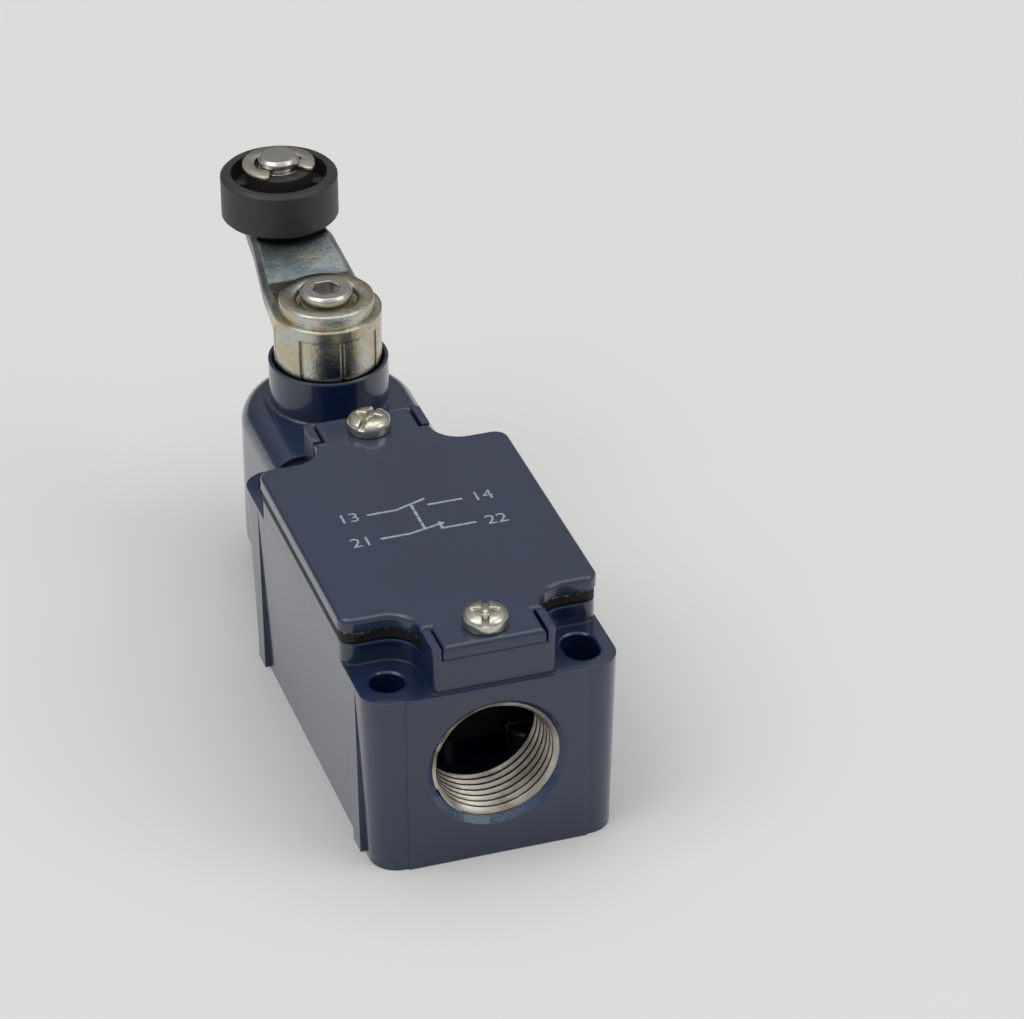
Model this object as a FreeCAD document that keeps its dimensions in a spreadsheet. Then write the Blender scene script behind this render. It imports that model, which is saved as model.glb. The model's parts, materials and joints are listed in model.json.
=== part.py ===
import FreeCAD, Part
import math
import os
import Sketcher

# Rotary lever limit switch, lying on its mounting face.
# Origin: centre of the four fixing holes on the mounting face. +Z out of the lid,
# +Y from the cable entry towards the head and lever. All sizes in millimetres.

SIZES = {
    # Fixing holes
    "fixing_across": 30.0,
    "fixing_along": 60.0,
    "fixing_width": 5.3,
    "fixing_slot_length": 7.3,
    "fixing_rim": 0.25,
    # Enclosure casting
    "near_beyond": 6.0,
    "far_beyond": 3.7,
    "side_beyond": 4.9,
    "side_lean": 1.0,
    "rib_lean": 0.25,
    "rib_width": 3.6,
    "column_length": 6.5,
    "panel_inset": 5.9,
    "panel_rise": 0.3,
    "near_corner": 4.3,
    "far_corner": 4.2,
    "lug_top": 30.0,
    "wall_top": 33.5,
    "floor_thickness": 3.0,
    "side_wall": 4.1,
    "end_land": 2.15,
    "cavity_corner": 3.0,
    # Cable entry
    "entry_level": 16.4,
    "entry_radius": 10.0,
    "entry_mouth_radius": 10.9,
    "entry_thread_length": 11.0,
    "entry_relief_radius": 11.0,
    # Lid, gasket and their seat
    "lid_overhang": 0.3,
    "lug_reach": 7.0,
    "lid_end_margin": 0.5,
    "lid_tab_length": 6.15,
    "lid_neck_half": 9.55,
    "lid_tab_half": 7.9,
    "lid_corner": 2.3,
    "lid_waist": 4.6,
    "lid_thickness": 2.2,
    "lid_edge": 0.7,
    "lid_rim_depth": 2.6,
    "lid_rim_width": 1.2,
    "lid_rim_clearance": 0.4,
    "gasket_thickness": 2.1,
    "gasket_inset": 0.2,
    "cheek_rise": 2.1,
    "cheek_clearance": 0.35,
    "pedestal_inset": 0.4,
    "pedestal_corner": 0.8,
    # Lid screws
    "lid_screw_inset": 4.55,
    "lid_screw_thread": 4.0,
    "lid_screw_head": 7.0,
    "lid_screw_head_height": 2.5,
    "lid_screw_length": 8.0,
    "screw_slot_width": 1.1,
    "screw_slot_depth": 1.1,
    "screw_hole_play": 0.25,
    "thread_play": 0.03,
    "drill_point": 0.6,
    "screw_tip": 0.5,
    "screw_edge": 0.4,
    # Head casting
    "head_half": 14.4,
    "head_bottom": 2.8,
    "head_top": 31.2,
    "head_edge": 4.2,
    "head_gasket_thickness": 0.7,
    "gasket_margin": 0.9,
    "gasket_corner": 3.2,
    "shaft_stand": 17.1,
    "collar_radius": 9.7,
    "collar_top": 38.6,
    "collar_recess_radius": 9.15,
    "collar_recess_depth": 2.1,
    "collar_fillet": 0.4,
    "cam_room_radius": 10.5,
    "cam_room_bottom": 9.5,
    "cam_room_top": 25.5,
    # Shaft and its bearings
    "shaft_radius": 5.0,
    "shaft_top": 44.4,
    "journal_radius": 4.0,
    "journal_bottom": 5.2,
    "running_play": 0.05,
    "seated_play": 0.03,
    "bush_wall": 2.2,
    "bush_length": 7.4,
    "seal_height": 1.6,
    "ring_groove_depth": 0.6,
    "ring_thickness": 0.8,
    "ring_radius": 7.0,
    "ring_mouth": 6.0,
    "axial_play": 0.2,
    # Cam and its pin
    "cam_radius": 7.6,
    "cam_flat": 5.8,
    "cam_height": 8.0,
    "pin_radius": 1.2,
    "pin_inset": 0.6,
    # Plunger in the head
    "plunger_level": 17.0,
    "plunger_radius": 5.4,
    "plunger_head": 4.6,
    "plunger_rod_radius": 2.4,
    "plunger_rod_stand": 0.7,
    "plunger_gap": 0.3,
    "plunger_dome": 1.2,
    "guide_wall": 2.2,
    "guide_short": 1.4,
    "spring_room_radius": 5.2,
    "spring_room_depth": 7.5,
    "spring_wire": 0.7,
    "spring_radius": 3.9,
    "spring_pitch": 1.9,
    "spring_end_gap": 0.15,
    # Screws that hold the head from inside the enclosure
    "head_screw_across": 9.2,
    "head_screw_low": 6.6,
    "head_screw_high": 26.0,
    "head_screw_thread": 4.0,
    "head_screw_head": 6.6,
    "head_screw_head_height": 2.4,
    "head_screw_bite": 7.5,
    "head_screw_sink": 2.6,
    "head_screw_room": 3.5,
    # Lever
    "hub_radius": 8.83,
    "hub_bottom": 37.1,
    "hub_top": 47.6,
    "hub_chamfer": 0.5,
    "hub_groove_top": 45.6,
    "hub_step": 0.1,
    "hub_groove_width": 0.5,
    "hub_groove_depth": 0.35,
    "hub_grooves": 8,
    "arm_thickness": 3.0,
    "arm_rise": 2.9,
    "arm_bend_start": 10.3,
    "arm_bend_end": 19.6,
    "arm_root_half": 8.8,
    "arm_end_radius": 5.95,
    "arm_edge": 0.9,
    "lever_length": 27.0,
    # Serrated clamping disc and its screw
    "disc_radius": 7.8,
    "disc_height": 2.1,
    "disc_chamfer": 0.6,
    "disc_spigot_radius": 6.2,
    "disc_spigot_depth": 3.1,
    "disc_bore_radius": 5.05,
    "disc_web": 1.6,
    "serrations": 30,
    "serration_depth": 0.35,
    "clamp_thread": 5.0,
    "clamp_head": 8.4,
    "clamp_head_height": 5.0,
    "clamp_socket": 4.0,
    "clamp_socket_depth": 2.5,
    "clamp_length": 12.0,
    # Roller, pin and clip
    "roller_radius": 9.65,
    "roller_width": 7.8,
    "roller_rim": 1.75,
    "roller_hub_radius": 5.5,
    "roller_hub_rise": 0.9,
    "roller_hub_drop": 0.2,
    "roller_web": 1.4,
    "roller_spoke_drop": 1.8,
    "roller_spoke_width": 1.7,
    "roller_spokes": 4,
    "roller_spoke_turn": -15.0,
    "roller_edge": 0.5,
    "roller_lift": 0.3,
    "roller_pin_radius": 3.35,
    "roller_pin_spigot": 2.6,
    "roller_pin_tip": 1.2,
    "roller_pin_chamfer": 0.5,
    "rivet_radius": 4.1,
    "rivet_height": 1.0,
    "clip_groove_radius": 2.5,
    "clip_radius": 6.0,
    "clip_thickness": 0.7,
    "clip_play": 0.1,
    "clip_mouth": 4.2,
    "clip_inner": 4.2,
    "clip_prong": 2.0,
    "clip_turn": 18.0,
    # Contact block
    "block_play": 1.8,
    "block_near": 13.0,
    "block_end_play": 1.0,
    "block_seat": 2.0,
    "block_height": 19.0,
    "block_corner": 1.2,
    "block_wall": 1.4,
    "pocket_near": 5.7,
    "pocket_far": 5.5,
    "cover_height": 2.0,
    "strip_thickness": 0.6,
    "strip_bottom": 13.0,
    "cover_overlap": 1.0,
    "cover_keeper": 2.4,
    "side_play": 0.2,
    "strip_length": 6.9,
    "strip_width": 6.4,
    "button_radius": 1.3,
    "button_height": 0.2,
    "button_inset": 1.8,
    "carrier_half": 3.0,
    "carrier_near": 1.9,
    "carrier_far": 5.0,
    "carrier_bottom": 11.0,
    "carrier_top": 20.0,
    "carrier_rod_radius": 2.4,
    "carrier_level": 17.0,
    "bridge_bottom": 15.0,
    "bridge_height": 4.0,
    "bridge_overlap": 1.6,
    "bridge_thickness": 0.6,
    "bridge_open": 1.3,
    "bridge_closed": 4.4,
    "window_depth": 1.6,
    "contact_spring_radius": 1.3,
    "contact_spring_wire": 0.35,
    "contact_spring_pitch": 0.5,
    "terminal_near": 9.4,
    "terminal_far": 9.2,
    "terminal_thread": 3.5,
    "terminal_head": 6.2,
    "terminal_head_height": 2.2,
    "terminal_length": 8.0,
    "clamp_plate_half": 3.0,
    "clamp_plate_thickness": 0.9,
    "block_screw_thread": 3.0,
    "block_screw_head": 5.4,
    "block_screw_head_height": 2.0,
    "block_screw_bite": 3.6,
    "block_screw_near_inset": 3.4,
    "block_screw_far_inset": 2.8,
    "block_screw_side": 4.8,
    "boss_radius": 3.4,
    "rail_short": 1.0,
    "rail_half": 10.0,
    "rail_width": 2.0,
    # Earth terminal
    "earth_side": 5.2,
    "earth_end": 4.6,
    "earth_boss_radius": 3.6,
    "earth_boss_height": 3.0,
    "earth_plate_half": 3.2,
    "earth_screw_length": 4.5,
}

DOC = FreeCAD.newDocument("rotary_lever_limit_switch")
SHEET = DOC.addObject("Spreadsheet::Sheet", "sizes")
PIECES = []


class Size:
    """A length that carries its number together with its formula in the sheet."""

    def __init__(self, number, formula=None):
        self.number = float(number)
        self.formula = formula or repr(self.number)

    def join(self, sign, other, number):
        return Size(number, "(%s %s %s)" % (self.formula, sign, other.formula))

    def __add__(self, other):
        other = as_size(other)
        return self.join("+", other, self.number + other.number)

    def __sub__(self, other):
        other = as_size(other)
        return self.join("-", other, self.number - other.number)

    def __mul__(self, other):
        other = as_size(other)
        return self.join("*", other, self.number * other.number)

    def __truediv__(self, other):
        other = as_size(other)
        return self.join("/", other, self.number / other.number)

    def __rsub__(self, other):
        return as_size(other) - self

    def __neg__(self):
        return Size(-self.number, "(0 - %s)" % self.formula)

    __radd__ = __add__
    __rmul__ = __mul__


def as_size(value):
    return value if isinstance(value, Size) else Size(value)


def fill_sheet():
    """Write each driving size to its own cell, and give back the named sizes."""
    named = {}
    for row, (name, number) in enumerate(SIZES.items(), start=1):
        SHEET.set("A%d" % row, name)
        SHEET.set("B%d" % row, str(number))
        SHEET.setAlias("B%d" % row, name)
        named[name] = Size(number, "sizes." + name)
    DOC.recompute()
    return named


class Named:
    """The sizes of the sheet, read as attributes."""

    def __init__(self, named):
        self.__dict__.update(named)


def bind(thing, path, size):
    """Tie one property of an object to the sheet."""
    thing.setExpression(path, as_size(size).formula)


def set_point(sketch, geometry, position, x, y):
    """Hold one point of a sketch at x, y."""
    for kind, value in (("DistanceX", as_size(x)), ("DistanceY", as_size(y))):
        index = sketch.addConstraint(
            Sketcher.Constraint(kind, -1, 1, geometry, position, value.number))
        bind(sketch, "Constraints[%d]" % index, value)


def set_height(sketch, geometry, y):
    """Hold the centre of a half-round arc at y, where its ends already fix the rest."""
    y = as_size(y)
    index = sketch.addConstraint(Sketcher.Constraint("DistanceY", -1, 1, geometry, 3, y.number))
    bind(sketch, "Constraints[%d]" % index, y)


def set_radius(sketch, geometry, radius):
    index = sketch.addConstraint(Sketcher.Constraint("Radius", geometry, radius.number))
    bind(sketch, "Constraints[%d]" % index, radius)


def vector(x, y):
    return FreeCAD.Vector(as_size(x).number, as_size(y).number, 0)


def direction(start, end):
    """The unit step, -1, 0 or 1 on each axis, from one corner to the next."""
    steps = []
    for low, high in zip(start[:2], end[:2]):
        gap = as_size(high).number - as_size(low).number
        steps.append(0 if abs(gap) < 1e-9 else int(math.copysign(1, gap)))
    return steps


def draw_circle(sketch, x, y, radius):
    radius = as_size(radius)
    circle = Part.Circle(vector(x, y), FreeCAD.Vector(0, 0, 1), radius.number)
    index = sketch.addGeometry(circle)
    set_point(sketch, index, 3, x, y)
    set_radius(sketch, index, radius)


def draw_polygon(sketch, points):
    """Straight sides through points, each held at its own x and y."""
    first = None
    count = len(points)
    for number in range(count):
        start = points[number]
        end = points[(number + 1) % count]
        line = sketch.addGeometry(Part.LineSegment(vector(*start), vector(*end)))
        first = line if first is None else first
        set_point(sketch, line, 1, *start)
    for number in range(count):
        following = first + (number + 1) % count
        sketch.addConstraint(
            Sketcher.Constraint("Coincident", first + number, 2, following, 1))


def draw_outline(sketch, corners):
    """Sides along the sketch's axes, each corner (x, y, radius) with its own arc."""
    count = len(corners)
    ends = []
    for number, corner in enumerate(corners):
        before = direction(corners[number - 1], corner)
        after = direction(corner, corners[(number + 1) % count])
        radius = corner[2] if len(corner) > 2 else None
        if radius is None:
            ends.append((corner, corner, None))
            continue
        x, y = corner[:2]
        arrive = (x - radius * before[0], y - radius * before[1])
        leave = (x + radius * after[0], y + radius * after[1])
        middle = (arrive[0] + radius * after[0], arrive[1] + radius * after[1])
        ends.append((arrive, leave, (middle, radius, before, after)))
    chain = []
    for number, (arrive, leave, arc) in enumerate(ends):
        if arc is not None:
            chain.append(draw_corner(sketch, arrive, arc))
        target = ends[(number + 1) % count][0]
        line = sketch.addGeometry(Part.LineSegment(vector(*leave[:2]), vector(*target[:2])))
        set_point(sketch, line, 1, *leave[:2])
        if ends[(number + 1) % count][2] is not None:
            set_point(sketch, line, 2, *target[:2])
        chain.append((line, 1, 2))
    for number, (geometry, _, last) in enumerate(chain):
        following, begin, _ = chain[(number + 1) % len(chain)]
        sketch.addConstraint(
            Sketcher.Constraint("Coincident", geometry, last, following, begin))


def draw_corner(sketch, arrive, arc):
    """A quarter arc at one corner, and which of its ends comes first."""
    middle, radius, before, after = arc
    turn = before[0] * after[1] - before[1] * after[0]
    start = math.atan2(arrive[1].number - middle[1].number,
                       arrive[0].number - middle[0].number)
    first, last = (start, start + math.pi / 2) if turn > 0 else (start - math.pi / 2, start)
    circle = Part.Circle(vector(*middle), FreeCAD.Vector(0, 0, 1), radius.number)
    index = sketch.addGeometry(Part.ArcOfCircle(circle, first, last))
    set_radius(sketch, index, radius)
    return (index, 1, 2) if turn > 0 else (index, 2, 1)


def draw_slot(sketch, x, y, half_width, half_length):
    """A slot along the sketch's second axis, with round ends."""
    centre_gap = half_length - half_width
    normal = FreeCAD.Vector(0, 0, 1)
    low = Part.Circle(vector(x, y - centre_gap), normal, half_width.number)
    high = Part.Circle(vector(x, y + centre_gap), normal, half_width.number)
    lower = sketch.addGeometry(Part.ArcOfCircle(low, math.pi, 2 * math.pi))
    upper = sketch.addGeometry(Part.ArcOfCircle(high, 0, math.pi))
    right = sketch.addGeometry(Part.LineSegment(
        vector(x + half_width, y - centre_gap), vector(x + half_width, y + centre_gap)))
    left = sketch.addGeometry(Part.LineSegment(
        vector(x - half_width, y + centre_gap), vector(x - half_width, y - centre_gap)))
    set_height(sketch, lower, y - centre_gap)
    set_height(sketch, upper, y + centre_gap)
    for one, end, other, begin in (
            (lower, 2, right, 1), (right, 2, upper, 1), (upper, 2, left, 1), (left, 2, lower, 1)):
        sketch.addConstraint(Sketcher.Constraint("Coincident", one, end, other, begin))
    set_point(sketch, right, 1, x + half_width, y - centre_gap)
    set_point(sketch, right, 2, x + half_width, y + centre_gap)
    set_point(sketch, left, 1, x - half_width, y + centre_gap)
    set_point(sketch, left, 2, x - half_width, y - centre_gap)


def circle_at(x, y, radius):
    return lambda sketch: draw_circle(sketch, x, y, radius)


def polygon(*points):
    return lambda sketch: draw_polygon(sketch, points)


def outline(*corners):
    return lambda sketch: draw_outline(sketch, corners)


def slot_at(x, y, half_width, half_length):
    return lambda sketch: draw_slot(sketch, x, y, half_width, half_length)


def box(x_low, x_high, y_low, y_high, radius=None):
    """A rectangle, with round corners where a radius is given."""
    corners = [(x_low, y_low), (x_high, y_low), (x_high, y_high), (x_low, y_high)]
    if radius is None:
        return polygon(*corners)
    return outline(*[(x, y, radius) for x, y in corners])


class Piece:
    """One piece of the switch: a body with its own sketches and features."""

    def __init__(self, label, at=(0, 0, 0), turn=None):
        self.body = DOC.addObject("PartDesign::Body", label)
        self.body.Label = label
        rotation = turn or FreeCAD.Rotation()
        self.body.Placement = FreeCAD.Placement(FreeCAD.Vector(0, 0, 0), rotation)
        for axis, value in zip("xyz", at):
            if as_size(value).number:
                bind(self.body, "Placement.Base." + axis, value)
        PIECES.append(self.body)

    def plane(self, role):
        for feature in self.body.Origin.OriginFeatures:
            if feature.Role == role:
                return feature
        raise LookupError(role)

    def sketch(self, role, level, loops):
        sketch = self.body.newObject("Sketcher::SketchObject", "sketch")
        sketch.AttachmentSupport = [(self.plane(role), "")]
        sketch.MapMode = "FlatFace"
        level = -as_size(level) if role == "XZ_Plane" else as_size(level)
        bind(sketch, "AttachmentOffset.Base.z", level)
        for loop in loops:
            loop(sketch)
        sketch.Visibility = False
        return sketch

    def pad(self, level, length, *loops, role="XY_Plane", reverse=False, both=False):
        """Grow the loops from their level along the plane's normal."""
        feature = self.body.newObject("PartDesign::Pad", "pad")
        feature.Profile = self.sketch(role, level, loops)
        bind(feature, "Length", length)
        feature.Reversed = reverse
        feature.Midplane = both
        return self.settle(feature)

    def pocket(self, level, depth, *loops, role="XY_Plane", reverse=False, both=False):
        """Cut the loops from their level against the plane's normal."""
        feature = self.body.newObject("PartDesign::Pocket", "pocket")
        feature.Profile = self.sketch(role, level, loops)
        bind(feature, "Length", depth)
        feature.Reversed = reverse
        feature.Midplane = both
        before = self.body.Shape.Volume
        self.settle(feature)
        if not self.body.Shape.Volume < before:
            raise ValueError("nothing was cut from " + self.body.Label)
        return feature

    def turned(self, *points, cut=False, role="XZ_Plane"):
        """Turn a profile of (radius, height) points about the body's own Z axis."""
        kind = "PartDesign::Groove" if cut else "PartDesign::Revolution"
        sketch = self.sketch(role, 0, [polygon(*points)])
        feature = self.body.newObject(kind, "turned")
        feature.Profile = sketch
        feature.ReferenceAxis = (sketch, ["V_Axis"])
        feature.Angle = 360
        return self.settle(feature)

    def loft(self, low, high):
        """Join two plans, each given as its level and its loop, by ruled sides."""
        feature = self.body.newObject("PartDesign::AdditiveLoft", "loft")
        feature.Profile = self.sketch("XY_Plane", low[0], [low[1]])
        feature.Sections = [self.sketch("XY_Plane", high[0], [high[1]])]
        feature.Ruled = True
        return self.settle(feature)

    def settle(self, feature):
        self.body.Tip = feature
        DOC.recompute()
        if "Invalid" in feature.State or "Error" in feature.State:
            raise ValueError("%s of %s failed" % (feature.Label, self.body.Label))
        return feature

    def edges(self, test):
        """Names of the tip's edges that pass a test."""
        found = []
        for number, edge in enumerate(self.body.Tip.Shape.Edges, start=1):
            if test(edge):
                found.append("Edge%d" % number)
        return found

    def dress(self, kind, size, test):
        """Chamfer or fillet the edges that pass a test."""
        names = self.edges(test)
        if not names:
            raise ValueError("no edge to dress on " + self.body.Label)
        base = self.body.Tip
        feature = self.body.newObject("PartDesign::" + kind, kind.lower())
        feature.Base = (base, names)
        bind(feature, "Radius" if kind == "Fillet" else "Size", size)
        return self.settle(feature)

    def repeat_round(self, feature, count):
        """Repeat a feature evenly about the body's Z axis."""
        pattern = self.body.newObject("PartDesign::PolarPattern", "pattern")
        pattern.Originals = [feature]
        pattern.Axis = (self.plane("Z_Axis"), [""])
        pattern.Angle = 360
        bind(pattern, "Occurrences", count)
        return self.settle(pattern)


def on_level(level, tolerance=1e-4):
    """A test for edges that lie wholly at one height."""
    number = as_size(level).number

    def test(edge):
        box_of_edge = edge.BoundBox
        return abs(box_of_edge.ZMin - number) < tolerance and \
            abs(box_of_edge.ZMax - number) < tolerance
    return test


S = Named(fill_sheet())
ALONG_Y = FreeCAD.Rotation(FreeCAD.Vector(1, 0, 0), -90)
AGAINST_Y = FreeCAD.Rotation(FreeCAD.Vector(1, 0, 0), 90)


# Lengths, levels and places shared by several pieces
NEAR_LENGTH = S.fixing_along / 2 + S.near_beyond
FAR_LENGTH = S.fixing_along / 2 + S.far_beyond
COLUMN_HALF = S.fixing_across / 2 + S.side_beyond
SIDE_HALF = COLUMN_HALF - S.side_lean
RIB_HALF = COLUMN_HALF - S.rib_lean
PANEL_HALF = COLUMN_HALF - S.panel_inset
LID_HALF = COLUMN_HALF + S.lid_overhang
LID_MIDDLE = (NEAR_LENGTH - FAR_LENGTH) / 2
LID_TAB = (NEAR_LENGTH + FAR_LENGTH) / 2 - S.lid_end_margin
LID_NECK = LID_TAB - S.lid_tab_length
LID_SCREW_REACH = LID_TAB - S.lid_screw_inset
LID_BODY = S.fixing_along / 2 - S.lug_reach
CAVITY_HALF = COLUMN_HALF - S.side_wall
CAVITY_NEAR = LID_BODY + LID_MIDDLE - S.end_land
CAVITY_FAR = LID_BODY - LID_MIDDLE - S.end_land
PLUNGER_ROD_END = CAVITY_FAR - S.plunger_rod_stand
SPRING_SEAT = FAR_LENGTH - S.spring_room_depth
BLOCK_HALF = CAVITY_HALF - S.block_play
BLOCK_FAR = PLUNGER_ROD_END - S.block_end_play
POCKET_HALF = BLOCK_HALF - S.block_wall
STRIP_OUTER = POCKET_HALF - S.side_play
STRIP_INNER = STRIP_OUTER - S.strip_width
TERMINAL_ACROSS = STRIP_OUTER - S.clamp_plate_half
BUTTON_REACH = TERMINAL_ACROSS - S.button_inset
BRIDGE_HALF = BUTTON_REACH + S.bridge_overlap
EARTH_ACROSS = CAVITY_HALF - S.earth_side
EARTH_ALONG = CAVITY_NEAR - S.earth_end
LID_SEAT = S.wall_top + S.gasket_thickness
LID_TOP = LID_SEAT + S.lid_thickness
HEAD_FRONT = FAR_LENGTH + S.head_gasket_thickness
SHAFT_REACH = HEAD_FRONT + S.shaft_stand
NEAR_FACE = NEAR_LENGTH + S.panel_rise
HEAD_SCREW_SEAT = CAVITY_FAR + S.head_screw_sink
BLOCK_BOTTOM = S.floor_thickness + S.block_seat
BLOCK_TOP = BLOCK_BOTTOM + S.block_height
LEAF_TOP = BLOCK_TOP + S.strip_thickness
PASSAGE_RADIUS = S.plunger_radius + S.running_play + S.guide_wall
BUSH_RADIUS = S.shaft_radius + S.running_play + S.bush_wall
SEAL_TOP = S.collar_top - S.collar_recess_depth
BUSH_TOP = SEAL_TOP - S.seal_height
BUSH_BOTTOM = BUSH_TOP - S.bush_length
RING_TOP = BUSH_BOTTOM - S.axial_play
NOSE = SHAFT_REACH - S.cam_radius - S.plunger_gap
PLUNGER_BACK = NOSE - S.plunger_head
GUIDE_LENGTH = NOSE - HEAD_FRONT - S.guide_short
ARM_END_TOP = S.hub_top + S.arm_rise
ROLLER_REACH = SHAFT_REACH + S.lever_length
HUB_LOW = ARM_END_TOP + S.roller_lift
RIM_LOW = HUB_LOW + S.roller_hub_drop
RIM_HIGH = RIM_LOW + S.roller_width
HUB_HIGH = RIM_HIGH + S.roller_hub_rise
CLIP_LOW = HUB_HIGH + S.clip_play
LID_SCREW_PLACES = {
    "near": 0 - LID_MIDDLE - LID_SCREW_REACH,
    "far": LID_SCREW_REACH - LID_MIDDLE,
}
HEAD_SCREW_PLACES = {
    "low_left": (-S.head_screw_across, S.head_screw_low),
    "low_right": (S.head_screw_across, S.head_screw_low),
    "high_left": (-S.head_screw_across, S.head_screw_high),
    "high_right": (S.head_screw_across, S.head_screw_high),
}
BLOCK_SCREW_PLACES = {
    "near": (as_size(0), S.block_screw_near_inset - S.block_near),
    "far": (S.block_screw_side, BLOCK_FAR - S.block_screw_far_inset),
}
TERMINAL_PLACES = {
    "near_left": (-TERMINAL_ACROSS, -S.terminal_near),
    "near_right": (TERMINAL_ACROSS, -S.terminal_near),
    "far_left": (-TERMINAL_ACROSS, S.terminal_far),
    "far_right": (TERMINAL_ACROSS, S.terminal_far),
}
FIXING_PLACES = [(across * S.fixing_across / 2, along * S.fixing_along / 2)
                 for across in (-1, 1) for along in (-1, 1)]


def waisted(half, body, neck_half, neck, tab_half=None, tab=None):
    """Corners of the lid's waisted outline, with a narrower tab at each end if asked."""
    quarter = [(half, body, S.lid_corner), (neck_half, body, S.lid_waist), (neck_half, neck)]
    if tab is not None:
        quarter += [(tab_half, neck), (tab_half, tab)]
    ring = []
    for across, along, forward in ((1, 1, True), (-1, 1, False), (-1, -1, True), (1, -1, False)):
        for corner in quarter if forward else reversed(quarter):
            place = (corner[0] * across, corner[1] * along - LID_MIDDLE)
            ring.append(place + tuple(corner[2:]))
    return ring


def cavity_loop(inset=0):
    return box(-(CAVITY_HALF - inset), CAVITY_HALF - inset,
               -(CAVITY_NEAR - inset), CAVITY_FAR - inset, S.cavity_corner)


def near_place(edge, x, y, reach):
    """Whether an edge lies wholly within reach of a point in plan."""
    bounds = edge.BoundBox
    return abs(bounds.XMin - x) < reach and abs(bounds.XMax - x) < reach and \
        abs(bounds.YMin - y) < reach and abs(bounds.YMax - y) < reach


def fastener(label, at, thread, head, head_height, length, turn=None):
    """A round-headed screw standing on its seat, with a plain slot."""
    piece = Piece(label, at, turn)
    shank = thread / 2
    rim = head / 2
    piece.turned(
        (0, -length), (shank - S.screw_tip, -length), (shank, S.screw_tip - length), (shank, 0),
        (rim, 0), (rim, head_height - S.screw_edge), (rim - S.screw_edge, head_height),
        (0, head_height))
    piece.pocket(head_height, S.screw_slot_depth,
                 box(-rim, rim, -S.screw_slot_width / 2, S.screw_slot_width / 2))
    return piece


def ring(label, at, level, height, outer, inner, turn=None):
    """A plain ring or bush."""
    piece = Piece(label, at, turn)
    piece.pad(level, height, circle_at(0, 0, outer), circle_at(0, 0, inner))
    return piece


def coil(label, at, length, radius, wire, pitch, turn=None):
    """A wound spring along the body's Z axis."""
    piece = Piece(label, at, turn)
    sketch = piece.sketch("XZ_Plane", 0, [circle_at(radius, wire / 2, wire / 2)])
    helix = piece.body.newObject("PartDesign::AdditiveHelix", "coil")
    helix.Profile = sketch
    helix.ReferenceAxis = (sketch, ["V_Axis"])
    helix.Mode = 0
    bind(helix, "Pitch", pitch)
    bind(helix, "Height", length - wire)
    piece.settle(helix)
    return piece


# Enclosure casting
def foot_outline(half):
    """The enclosure's plan at one level: round corners, and a raised panel at the near end."""
    return outline(
        (-half, -NEAR_LENGTH, S.near_corner), (-PANEL_HALF, -NEAR_LENGTH),
        (-PANEL_HALF, -NEAR_FACE), (PANEL_HALF, -NEAR_FACE),
        (PANEL_HALF, -NEAR_LENGTH), (half, -NEAR_LENGTH, S.near_corner),
        (half, FAR_LENGTH, S.far_corner), (-half, FAR_LENGTH, S.far_corner))


def make_housing():
    piece = Piece("housing")
    piece.loft((0, foot_outline(SIDE_HALF)), (S.lug_top, foot_outline(COLUMN_HALF)))
    add_ribs(piece)
    piece.pad(S.lug_top, S.wall_top - S.lug_top, outline(*waisted(
        COLUMN_HALF, LID_BODY, S.lid_neck_half, LID_NECK + S.cheek_clearance)))
    add_pedestals(piece)
    piece.pocket(S.wall_top, S.wall_top - S.floor_thickness, cavity_loop())
    add_floor_seats(piece)
    cut_fixings(piece)
    cut_cable_entry(piece)
    cut_far_wall(piece)
    for y in LID_SCREW_PLACES.values():
        depth = S.lid_screw_length - S.lid_thickness + S.drill_point
        piece.pocket(LID_SEAT, depth, circle_at(0, y, S.lid_screw_thread / 2 + S.thread_play))


def add_ribs(piece):
    """An upright rib beside each corner column, proud of the sides that lean in."""
    inner = CAVITY_HALF + S.side_wall / 2
    for high in (S.column_length + S.rib_width - NEAR_LENGTH, FAR_LENGTH - S.column_length):
        for side in (-1, 1):
            piece.pad(high, S.rib_width, polygon(
                (side * RIB_HALF, 0), (side * COLUMN_HALF, S.lug_top),
                (side * inner, S.lug_top), (side * inner, 0)), role="XZ_Plane")


def add_pedestals(piece):
    """The two stands under the lid's tabs, each with an upright cheek on both sides."""
    start = LID_NECK + S.cheek_clearance
    corner = S.pedestal_corner
    ends = ((S.pedestal_inset - NEAR_LENGTH, -start - LID_MIDDLE),
            (FAR_LENGTH - S.pedestal_inset, start - LID_MIDDLE))
    half = S.lid_neck_half
    inner = S.lid_tab_half + S.cheek_clearance
    for outer, neck in ends:
        piece.pad(S.lug_top, LID_SEAT - S.lug_top, outline(
            (-half, outer, corner), (half, outer, corner), (half, neck), (-half, neck)))
        for side in (-1, 1):
            piece.pad(LID_SEAT, S.cheek_rise, outline(
                (side * half, outer, corner), (side * half, neck),
                (side * inner, neck), (side * inner, outer)))


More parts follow.
